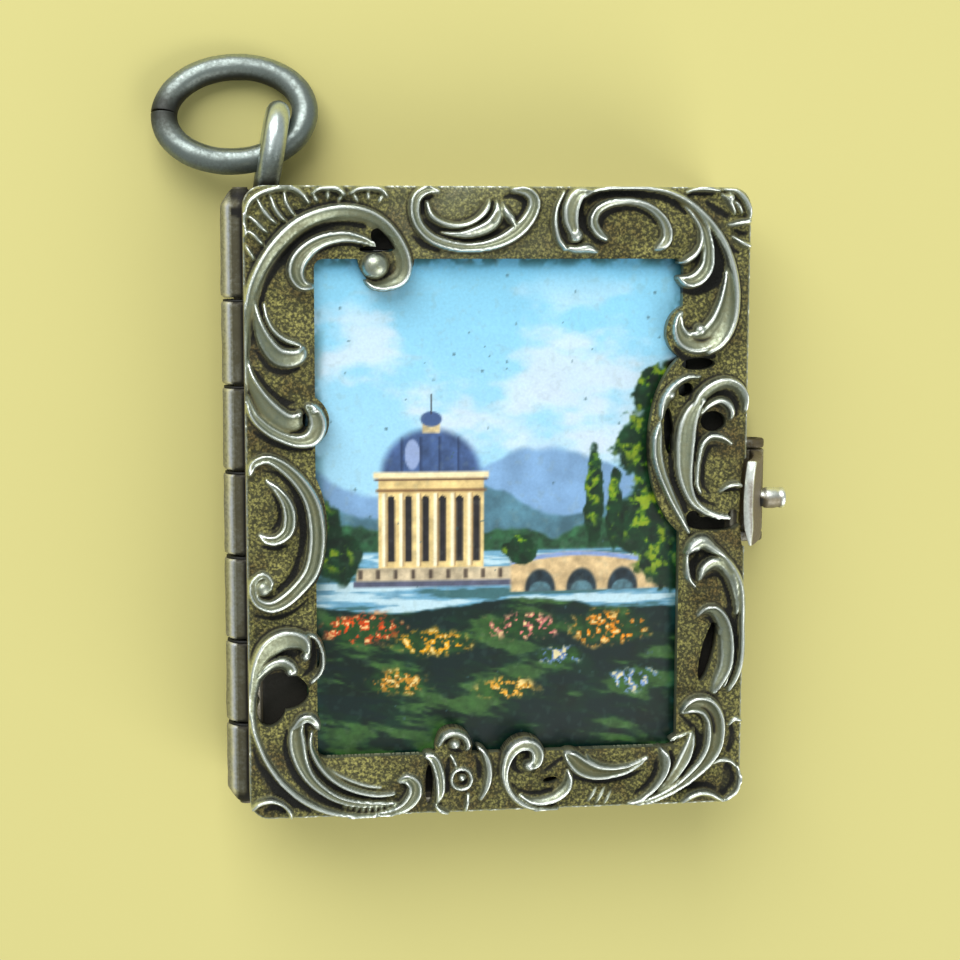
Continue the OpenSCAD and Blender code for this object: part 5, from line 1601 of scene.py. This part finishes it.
def slide_to_line(x, y):
    """Moves border points to where the distance to the metal's edge is zero."""
    gy, gx = np.gradient(metal, GY[1, 0] - GY[0, 0], GX[0, 1] - GX[0, 0])
    steep = np.maximum(gx * gx + gy * gy, LEAST_SLOPE)
    cap = STEP * SLIDE_SHARE
    mx, my = np.clip(-metal * gx / steep, -cap, cap), np.clip(-metal * gy / steep, -cap, cap)
    used = np.zeros(metal.shape, int)
    used[:-1, :-1] += cells
    used[1:, :-1] += cells
    used[:-1, 1:] += cells
    used[1:, 1:] += cells
    border = (used > 0) & (used < 4)
    return (np.clip(np.where(border, x + mx, x), -HALF_W, HALF_W),
            np.clip(np.where(border, y + my, y), -HALF_H, HALF_H), used > 0)


def draw_down(work, edges):
    """Extrudes edges, and gives the new points and the new border."""
    parts = bmesh.ops.extrude_edge_only(work, edges=edges)["geom"]
    points = [part for part in parts if isinstance(part, bmesh.types.BMVert)]
    border = [part for part in parts if isinstance(part, bmesh.types.BMEdge) and part.is_boundary]
    return points, border


def close_frame(mesh):
    """Walls below the border and a flat underside."""
    work = bmesh.new()
    work.from_mesh(mesh)
    border = [edge for edge in work.edges if edge.is_boundary]
    points, below = draw_down(work, border)
    masks = [work.verts.layers.float[label] for label in frame_masks]
    for v in points:
        v.co.z -= WALL_BAND * MM
        for layer, share in zip(masks, WALL_SHARES):
            v[layer] = v[layer] * share
    points, low = draw_down(work, below)
    for v in points:
        v.co.z = FRAME_Z * MM
    bmesh.ops.triangle_fill(work, use_beauty=False, use_dissolve=False, edges=low, normal=(0, 0, -1))
    bmesh.ops.recalc_face_normals(work, faces=work.faces)
    for face in work.faces:
        face.smooth = True
    for edge in border:
        edge.smooth = False
    work.to_mesh(mesh)
    open_edges = sum(1 for edge in work.edges if not edge.is_manifold)
    work.free()
    print(mesh.name, len(mesh.polygons), "faces,", open_edges, "open edges")


print("the mask of rub keeps", WALL_SHARES[0], "of itself on the walls")


# %% Frame mesh
def frame_mesh(name):
    """The frame's top from the grid's cells, closed by walls and a flat underside."""
    x, y, used = slide_to_line(GX, GY)
    number = np.full(used.shape, -1)
    number[used] = np.arange(used.sum())
    points = np.stack([x[used], y[used], tops[used]], 1) * MM
    j, i = np.nonzero(cells)
    faces = np.stack([number[j, i], number[j, i + 1], number[j + 1, i + 1], number[j + 1, i]], 1)
    mesh = bpy.data.meshes.new(name)
    mesh.from_pydata(points.tolist(), [], faces.tolist())
    for label, values in frame_masks.items():
        set_mask(mesh, label, values[used])
    close_frame(mesh)
    piece = bpy.data.objects.new(name, mesh)
    bpy.context.scene.collection.objects.link(piece)
    return piece


scroll_frame = frame_mesh("silver_scrolls")
finish_piece(scroll_frame, cast_silver, "front", "scroll_frame")

# %% [markdown]
# ## The enamel plaque
# The plaque is copper sheet, pressed to a low dome and covered with painted, fired enamel. The dome follows
# a rule, so Geometry Nodes lift a grid by it and draw the edge down to the back. The painted view is made
# up for this part: a lake, blue hills, a domed pavilion, a low bridge and flower beds.


# %% Tree: enamel dome
def dome_tree():
    """A grid lifted to a low dome, with its edge drawn down to the back."""
    t = Tree("enamel dome")
    wide, high, thick, dome = t.floats("Wide", "High", "Thick", "Dome")
    across, up = t.ask("Points across", "Int"), t.ask("Points up", "Int")
    place, material = t.ask("Place", "Vector"), t.ask("Material", "Material")
    grid = t.add("GeometryNodeMeshGrid", wide, high, across, up)
    at = t.add("GeometryNodeInputPosition")

    def fall(out, size):
        """1 in the middle of the plaque and 0 at its edge, along one axis."""
        share = t.math("DIVIDE", t.times(t.add("ShaderNodeSeparateXYZ", at, out=out), 2.0), size)
        return t.minus(1.0, t.times(share, share))

    lift = t.linear(t.times(fall(0, wide), fall(1, high)), dome, thick)
    lifted = t.add("GeometryNodeSetPosition", grid, None, None, t.joined(0.0, 0.0, lift))
    faces_at_edge = t.add("GeometryNodeInputMeshEdgeNeighbors")
    border = t.add("FunctionNodeCompare", None, None, faces_at_edge, 1, data_type="INT", operation="EQUAL")
    walls = t.add("GeometryNodeExtrudeMesh", lifted, border, t.joined(0.0, 0.0, -1.0), thick, mode="EDGES")
    placed = t.add("GeometryNodeTransform", walls, place)
    t.finish(t.add("GeometryNodeTransform", placed, None, None, (MM, MM, MM)), material)
    return t


def close_back(piece):
    """Fills the open back with one face."""
    work = bmesh.new()
    work.from_mesh(piece.data)
    bmesh.ops.holes_fill(work, edges=[edge for edge in work.edges if edge.is_boundary], sides=0)
    work.to_mesh(piece.data)
    work.free()
    tidy_mesh(piece)


dome_nodes = dome_tree()
print("tree", dome_nodes.tree.name)

# %% [markdown]
# ## Painting the plaque
# An enamel painter lays thin washes and then small touches. Here each wash is a mask and a colour on the
# plaque's own points: a mask is soft at its border, and smooth noise breaks every wash into touches.


# %% Brushes
LATTICE = 128
SHIFT_X, SHIFT_Y = 40.3, 31.7
FINER_SHARE = 0.55


def wash_noise(x, y, size, seed, octaves):
    """Smooth noise from 0 to 1 at a size in millimetres."""
    total, weight = np.zeros_like(x), 0.0
    for octave in range(octaves):
        lattice = np.random.RandomState(seed + octave).rand(LATTICE, LATTICE)
        u, v = x / size * 2 ** octave + SHIFT_X, y / size * 2 ** octave + SHIFT_Y
        i, j = np.floor(u).astype(int), np.floor(v).astype(int)
        fx, fy = u - i, v - j
        fx, fy = fx * fx * (3 - 2 * fx), fy * fy * (3 - 2 * fy)
        left, right, low, high = i % LATTICE, (i + 1) % LATTICE, j % LATTICE, (j + 1) % LATTICE
        a, b, c, d = lattice[low, left], lattice[low, right], lattice[high, left], lattice[high, right]
        share = FINER_SHARE ** octave
        total += share * ((a * (1 - fx) + b * fx) * (1 - fy) + (c * (1 - fx) + d * fx) * fy)
        weight += share
    return total / weight


def ramp(value, low, high):
    """0 below low, 1 above high, and smooth between."""
    t = np.clip((value - low) / (high - low), 0, 1)
    return t * t * (3 - 2 * t)


class Painting:
    """Colours of the plaque's points, changed by washes."""

    def __init__(self, x, y):
        self.x, self.y = x, y
        self.color = np.zeros((len(x), 3))

    def wash(self, color, mask, mottle=0.0, seed=1, size=0.5):
        """Lays a colour where the mask is, broken by noise."""
        tone = np.asarray(color, float)[None, :]
        if mottle:
            tone = tone * (1 + mottle * (wash_noise(self.x, self.y, size, seed, 3) - 0.5)[:, None] * 2)
        share = np.clip(mask, 0, 1)[:, None]
        self.color = self.color * (1 - share) + tone * share

    def block(self, x0, x1, y0, y1, soft=0.05):
        """Mask of an upright rectangle."""
        return (ramp(self.x, x0 - soft, x0 + soft) * ramp(-self.x, -x1 - soft, -x1 + soft)
                * ramp(self.y, y0 - soft, y0 + soft) * ramp(-self.y, -y1 - soft, -y1 + soft))

    def spot(self, x, y, a, b, soft=0.12, rough=0.0, seed=1, size=0.6):
        """Mask of an ellipse with a ragged border."""
        away = np.hypot((self.x - x) / a, (self.y - y) / b)
        if rough:
            away = away + rough * (wash_noise(self.x, self.y, size, seed, 3) - 0.5)
        return ramp(-away, -1 - soft, -1 + soft)

    def below(self, line, soft=0.08):
        """Mask under a line of heights."""
        return ramp(line - self.y, -soft, soft)


print("brushes: block, spot and below")


# %% Sky, hills and water
SHORE = -2.0


def paint_sky(p):
    """A pale sky with clouds, bluer at the top."""
    x, y = p.x, p.y
    p.wash((0.64, 0.79, 0.87), np.ones_like(x))
    p.wash((0.53, 0.77, 0.88), 0.25 + 0.75 * ramp(y, 0.0, 10.5), 0.05, 3, 3.0)
    cloud = wash_noise(x * 0.62, y * 1.25, 2.6, 21, 5)
    p.wash((0.76, 0.83, 0.88), ramp(cloud, 0.46, 0.64) * 0.9 * ramp(-y, -9.9, -6.5), 0.03, 5, 1.0)
    p.wash((0.76, 0.78, 0.87), ramp(cloud, 0.58, 0.75) * 0.4 * ramp(-y, -7.0, -3.0))
    p.wash((0.26, 0.6, 0.82), ramp(y, 8.6, 10.2) * 0.55, 0.2, 8, 0.8)


def paint_hills(p):
    """Two rows of hills in blue and grey, with dark woods at their foot."""
    x = p.x
    wobble = wash_noise(x, p.y, 1.2, 31, 3) - 0.5
    p.wash((0.47, 0.6, 0.74), p.below(1.3 + 0.9 * np.sin(x * 0.5 + 0.6) + 0.5 * wobble, 0.15), 0.12, 6, 0.9)
    p.wash((0.3, 0.44, 0.5), p.below(0.1 + 0.6 * np.sin(x * 0.8 + 2.4) + 0.7 * wobble, 0.12), 0.25, 7, 0.6)
    p.wash((0.16, 0.3, 0.2), p.below(-1.0 + 0.3 * np.sin(x * 1.9) + 0.9 * wobble, 0.1), 0.5, 9, 0.35)


def paint_water(p):
    """A lake with light and dark streaks."""
    streak = wash_noise(p.x * 0.3, p.y * 2.6, 0.8, 41, 4)
    lake = p.below(SHORE)
    p.wash((0.4, 0.58, 0.68), p.below(SHORE + 0.1, 0.05), 0.15, 10, 0.5)
    p.wash((0.8, 0.88, 0.9), lake * ramp(streak, 0.5, 0.62) * 0.75)
    p.wash((0.16, 0.3, 0.28), lake * ramp(-streak, -0.47, -0.38) * 0.7)


print("the shore lies at", SHORE, "mm")


# %% Pavilion and bridge
PAVILION_X = -2.7
ARCHES = (1.7, 3.4, 5.1)


def paint_pavilion(p):
    """A round garden pavilion of ochre stone, with a blue dome, on a terrace."""
    cx = PAVILION_X
    dome = p.spot(cx, 1.25, 1.95, 1.75) * ramp(p.y, 1.2, 1.3)
    p.wash((0.26, 0.34, 0.5), dome, 0.3, 12, 0.4)
    p.wash((0.62, 0.68, 0.82), p.spot(cx - 0.75, 2.0, 0.3, 0.6) * dome * 0.8)
    for rib in (-1.2, -0.45, 0.3, 1.05):
        p.wash((0.12, 0.16, 0.26), p.block(cx + rib, cx + rib + 0.07, 1.3, 2.7) * dome * 0.8)
    p.wash((0.75, 0.68, 0.52), p.block(cx - 0.35, cx + 0.35, 2.85, 3.35), 0.2, 13, 0.2)
    p.wash((0.26, 0.34, 0.5), p.spot(cx, 3.4, 0.42, 0.3))
    p.wash((0.2, 0.2, 0.22), p.block(cx - 0.03, cx + 0.03, 3.6, 4.4, 0.03))
    p.wash((0.84, 0.74, 0.52), p.block(cx - 2.1, cx + 2.1, -2.6, 1.25), 0.2, 14, 0.35)
    p.wash((0.42, 0.3, 0.2), p.block(cx - 2.2, cx + 2.2, 0.5, 0.62) * 0.9)
    p.wash((0.9, 0.84, 0.68), p.block(cx - 2.3, cx + 2.3, 1.05, 1.3), 0.1, 15, 0.3)
    p.wash((0.3, 0.2, 0.16), p.block(cx - 2.25, cx + 2.25, 0.95, 1.04, 0.04) * 0.9)
    for left in cx - 1.95 + 0.68 * np.arange(6):
        p.wash((0.13, 0.12, 0.13), p.block(left + 0.22, left + 0.5, -2.3, 0.2), 0.4, 16, 0.3)
        p.wash((0.13, 0.12, 0.13), p.spot(left + 0.36, 0.2, 0.14, 0.16))
        p.wash((0.93, 0.9, 0.78), p.block(left, left + 0.14, -2.5, 0.45), 0.08, 17, 0.3)
        p.wash((0.45, 0.33, 0.22), p.block(left + 0.14, left + 0.19, -2.5, 0.45) * 0.8)
    p.wash((0.72, 0.66, 0.55), p.block(cx - 3.0, cx + 3.3, -3.1, -2.55), 0.25, 18, 0.3)
    p.wash((0.28, 0.28, 0.36), p.block(cx - 3.1, cx + 3.5, -3.32, -3.08) * 0.9, 0.2, 19, 0.3)
    for left in cx - 2.9 + 0.7 * np.arange(9):
        p.wash((0.2, 0.16, 0.14), p.block(left, left + 0.16, -3.0, -2.62) * 0.8)


def paint_bridge(p):
    """A low stone bridge of three arches, from the terrace to the far bank."""
    deck = -2.35 + 0.35 * np.cos((p.x - 3.2) * 0.55)
    body = p.below(deck, 0.05) * ramp(p.y, -3.65, -3.55) * ramp(p.x, 0.4, 0.6) * ramp(-p.x, -7.9, -7.7)
    p.wash((0.76, 0.66, 0.5), body, 0.25, 22, 0.3)
    p.wash((0.5, 0.58, 0.75), body * ramp(p.y - deck, -0.22, -0.14), 0.1, 23, 0.3)
    for x in ARCHES:
        p.wash((0.12, 0.17, 0.2), p.spot(x, -3.55, 0.62, 0.85) * body, 0.5, 24, 0.25)
        p.wash((0.3, 0.42, 0.46), p.spot(x, -3.6, 0.45, 0.4) * body, 0.3, 25, 0.2)


print("the pavilion stands at", PAVILION_X, "mm, and the bridge has", len(ARCHES), "arches")


# %% Trees and garden
CROWNS = ((6.9, 3.9, 1.35, 1.5), (6.3, 2.2, 1.5, 1.5), (7.2, 0.6, 1.9, 1.9), (6.2, -0.9, 1.5, 1.3),
          (7.3, -2.4, 1.7, 1.4), (3.9, 0.0, 0.38, 2.0), (4.75, -0.5, 0.36, 1.7), (-7.4, -1.2, 1.3, 1.6),
          (-6.3, -2.2, 0.9, 0.9), (0.9, -1.9, 0.7, 0.6))
BEDS = ((-5.4, -5.0, 1.5, 0.6, (0.85, 0.3, 0.18)), (-2.6, -5.6, 1.5, 0.5, (0.9, 0.62, 0.2)),
        (1.0, -5.0, 1.6, 0.5, (0.8, 0.45, 0.45)), (4.6, -5.2, 1.5, 0.7, (0.88, 0.52, 0.18)),
        (-4.0, -7.2, 1.1, 0.5, (0.75, 0.5, 0.2)), (0.4, -7.6, 1.2, 0.45, (0.85, 0.6, 0.25)),
        (5.6, -7.4, 1.0, 0.5, (0.45, 0.55, 0.75)), (2.6, -6.3, 0.9, 0.4, (0.4, 0.5, 0.72)))


def paint_trees(p):
    """Leafy trees on the right bank, two poplars and bushes at the left."""
    leaf = wash_noise(p.x, p.y, 0.34, 51, 4)
    for number, (x, y, a, b) in enumerate(CROWNS):
        crown = p.spot(x, y, a, b, 0.1, 0.7, 60 + number, 0.5)
        p.wash((0.06, 0.17, 0.09), crown, 0.6, 70 + number, 0.4)
        lit = crown * p.spot(x - 0.3 * a, y + 0.35 * b, a * 0.85, b * 0.8, 0.4)
        p.wash((0.36, 0.5, 0.12), lit * ramp(leaf, 0.5, 0.64) * 0.85, 0.3, 80, 0.3)
        p.wash((0.62, 0.66, 0.2), lit * ramp(leaf, 0.62, 0.72) * 0.6)


def paint_garden(p):
    """A dark lawn with streaks of light, and beds of small flowers."""
    bank = -4.15 + 0.25 * np.sin(p.x * 0.6 + 1.0) + 0.25 * (wash_noise(p.x, p.y, 0.7, 91, 3) - 0.5)
    lawn = p.below(bank, 0.08)
    p.wash((0.03, 0.125, 0.085), lawn, 0.5, 92, 0.7)
    streak = wash_noise(p.x * 0.45, p.y * 1.5 + p.x * 0.25, 0.8, 93, 4)
    p.wash((0.28, 0.42, 0.2), lawn * ramp(streak, 0.5, 0.66) * 0.7, 0.3, 94, 0.3)
    p.wash((0.02, 0.1, 0.1), lawn * ramp(-streak, -0.45, -0.34) * 0.8)
    touch = wash_noise(p.x, p.y, 0.2, 95, 3)
    for number, (x, y, a, b, color) in enumerate(BEDS):
        bed = p.spot(x, y, a, b, 0.35, 0.6, 100 + number, 0.4)
        p.wash((0.16, 0.3, 0.1), bed * 0.6, 0.4, 110, 0.2)
        p.wash(color, bed * ramp(touch, 0.5, 0.62) * 0.9, 0.35, 120 + number, 0.2)
        p.wash((0.93, 0.85, 0.6), bed * ramp(touch, 0.66, 0.74) * 0.8)


print(len(CROWNS), "crowns and", len(BEDS), "beds")


# %% Age
PITS = 70
# shade of the frame's deepest openings: x, y and half sizes
SHADES = ((6.8, 2.85, 0.25, 1.1), (7.48, 4.5, 0.5, 0.45), (7.7, 5.45, 0.9, 0.35), (-5.0, 10.06, 0.7, 0.2))


def paint_age(p):
    """Darker tone along the frame's edge, tiny pits, shade under the frame's openings and a faint bloom."""
    top = WINDOW_H / 2 - WINDOW_DROP
    side = WINDOW_W / 2
    edge_mottle = wash_noise(p.x, p.y, 0.7, 131, 4)
    edge = np.maximum(ramp(p.y, top - 0.5, top + 0.05), ramp(np.abs(p.x), side - 0.55, side + 0.1) * 0.6)
    p.wash((0.13, 0.3, 0.3), edge * ramp(edge_mottle, 0.38, 0.6) * 0.85, 0.3, 132, 0.3)
    chance = np.random.RandomState(7)
    pits = [chance.uniform(low, high, PITS) for low, high in ((-7, 7), (-9.5, 9.5), (0.025, 0.06))]
    for x, y, r in zip(*pits):
        p.wash((0.24, 0.34, 0.36), p.spot(x, y, r, r, 0.5) * 0.7)
    for x, y, a, b in SHADES:
        p.wash((0.02, 0.02, 0.015), p.spot(x, y, a, b, 0.2))
    p.wash((0.5, 0.55, 0.5), ramp(wash_noise(p.x, p.y, 0.25, 133, 2), 0.62, 0.8) * 0.12)


def paint_view(x, y):
    """The whole view, from the sky to the wear."""
    p = Painting(x, y)
    for paint in (paint_sky, paint_hills, paint_water, paint_pavilion, paint_bridge, paint_trees,
                  paint_garden, paint_age):
        paint(p)
    return p.color


print("the view has", PITS, "pits")

# %% Enamel
GRAIN_SCALE, UNEVEN_SCALE = 9000.0, 700.0  # cells to a metre
GRAIN_LOW, GRAIN_HIGH, SATURATION = 0.86, 1.12, 1.05
COAT_BUMP, COAT_DEPTH = 0.25, 0.00003
ENAMEL_LOOK = {"Roughness": 0.3, "Specular IOR Level": 0.35, "Coat Weight": 0.4, "Coat Roughness": 0.06}


def enamel_material():
    """Glossy enamel: the painted colours under a clear, slightly uneven coat."""
    material = bpy.data.materials.new("painted enamel")
    material.use_nodes = True
    nodes, links = material.node_tree.nodes, material.node_tree.links
    surface = nodes["Principled BSDF"]
    paint = nodes.new("ShaderNodeAttribute")
    paint.attribute_name = "view"
    place = nodes.new("ShaderNodeTexCoord")

    def noise(scale, detail):
        """Noise on the object's own coordinates."""
        node = nodes.new("ShaderNodeTexNoise")
        node.inputs["Scale"].default_value, node.inputs["Detail"].default_value = scale, detail
        links.new(place.outputs["Object"], node.inputs["Vector"])
        return node.outputs["Fac"]

    tone = nodes.new("ShaderNodeHueSaturation")
    tone.inputs["Saturation"].default_value = SATURATION
    lift = nodes.new("ShaderNodeMapRange")
    lift.inputs["To Min"].default_value, lift.inputs["To Max"].default_value = GRAIN_LOW, GRAIN_HIGH
    links.new(noise(GRAIN_SCALE, 2.0), lift.inputs["Value"])
    links.new(lift.outputs["Result"], tone.inputs["Value"])
    links.new(paint.outputs["Color"], tone.inputs["Color"])
    links.new(tone.outputs["Color"], surface.inputs["Base Color"])
    bump = nodes.new("ShaderNodeBump")
    bump.inputs["Strength"].default_value = COAT_BUMP
    bump.inputs["Distance"].default_value = COAT_DEPTH
    links.new(noise(UNEVEN_SCALE, 3.0), bump.inputs["Height"])
    links.new(bump.outputs["Normal"], surface.inputs["Normal"])
    for label, value in ENAMEL_LOOK.items():
        surface.inputs[label].default_value = value
    return material


painted_enamel = enamel_material()
print("material", painted_enamel.name)


# %% The plaque
def to_linear(color):
    """Painter's colours as the renderer's linear ones."""
    color = np.clip(color, 0, 1)
    return np.where(color < 0.04045, color / 12.92, ((color + 0.055) / 1.055) ** 2.4)


def paint_plaque(piece):
    """Stores the view's colours on the plaque's points."""
    mesh = piece.data
    at = np.empty(len(mesh.vertices) * 3)
    mesh.vertices.foreach_get("co", at)
    at = at.reshape(-1, 3) / MM
    colors = np.ones((len(at), 4))
    colors[:, :3] = to_linear(paint_view(at[:, 0], at[:, 1]))
    layer = mesh.color_attributes.new("view", "FLOAT_COLOR", "POINT")
    layer.data.foreach_set("color", colors.astype(np.float32).ravel())


PLAQUE_VALUES = {"Wide": WINDOW_W + 2 * LAP, "High": WINDOW_H + 2 * LAP, "Thick": PLAQUE_T,
                 "Dome": PLAQUE_DOME, "Points across": 245, "Points up": 329,
                 "Place": (0.0, -WINDOW_DROP, PLAQUE_Z)}
plaque = grow("enamel_view", dome_nodes, PLAQUE_VALUES, painted_enamel)
close_back(plaque)
paint_plaque(plaque)
finish_piece(plaque, painted_enamel, "front", "enamel_plaque")

# %% [markdown]
# ## Floor and light
# The locket lies on a plain pale board. A large soft light hangs at the upper left, as the photograph's
# shadows show, with a weaker one opposite. Silver is mostly what it reflects, so the lights are broad.


# %% Stage and lights
FLOOR_HALF, FLOOR_Z = 600, -0.01
FLOOR_CORNERS = ((-1, -1), (1, -1), (1, 1), (-1, 1))
BOARD_TONE, BOARD_ROUGH = (0.535, 0.488, 0.185, 1), 0.85
STUDIO_TONE, STUDIO_STRENGTH = (0.86, 0.94, 0.92, 1), 0.5
# name, place in metres, size, power and tone
LIGHTS = (("key", (-0.09, 0.2, 0.2), 0.26, 1.07, (1, 1, 1)),
          ("fill", (0.16, -0.2, 0.2), 0.25, 0.72, (1, 0.98, 0.95)))


def add_light(name, place, size, power, color):
    """A square soft light that faces the locket."""
    data = bpy.data.lights.new(name, "AREA")
    data.shape, data.size, data.energy, data.color = "SQUARE", size, power, color
    light = bpy.data.objects.new(name, data)
    light.location = place
    light.rotation_euler = (Vector((0, 0, 0)) - Vector(place)).to_track_quat("-Z", "Y").to_euler()
    bpy.context.scene.collection.objects.link(light)


floor = add_piece("floor", [(x * FLOOR_HALF, y * FLOOR_HALF, FLOOR_Z) for x, y in FLOOR_CORNERS],
                  [(0, 1, 2, 3)])
board = bpy.data.materials.new("pale board")
board.use_nodes = True
surface = board.node_tree.nodes["Principled BSDF"]
surface.inputs["Base Color"].default_value = BOARD_TONE
surface.inputs["Roughness"].default_value = BOARD_ROUGH
floor.data.materials.append(board)
for row in LIGHTS:
    add_light(*row)
world = bpy.data.worlds.new("studio")
bpy.context.scene.world = world
world.use_nodes = True
sky = world.node_tree.nodes["Background"]
sky.inputs["Color"].default_value = STUDIO_TONE
sky.inputs["Strength"].default_value = STUDIO_STRENGTH
bpy.context.scene.view_settings.view_transform = "Standard"
print("floor and lights stand")

# %% [markdown]
# ## Close
# The two pins keep their CAD shapes, because only their ends show.

# %% Pins and their finish
for node in ("hinge_pin", "hasp_pin"):
    pin = frame["nodes"][node]
    pin.data.materials.clear()
    pin.data.materials.append(dark_silver)
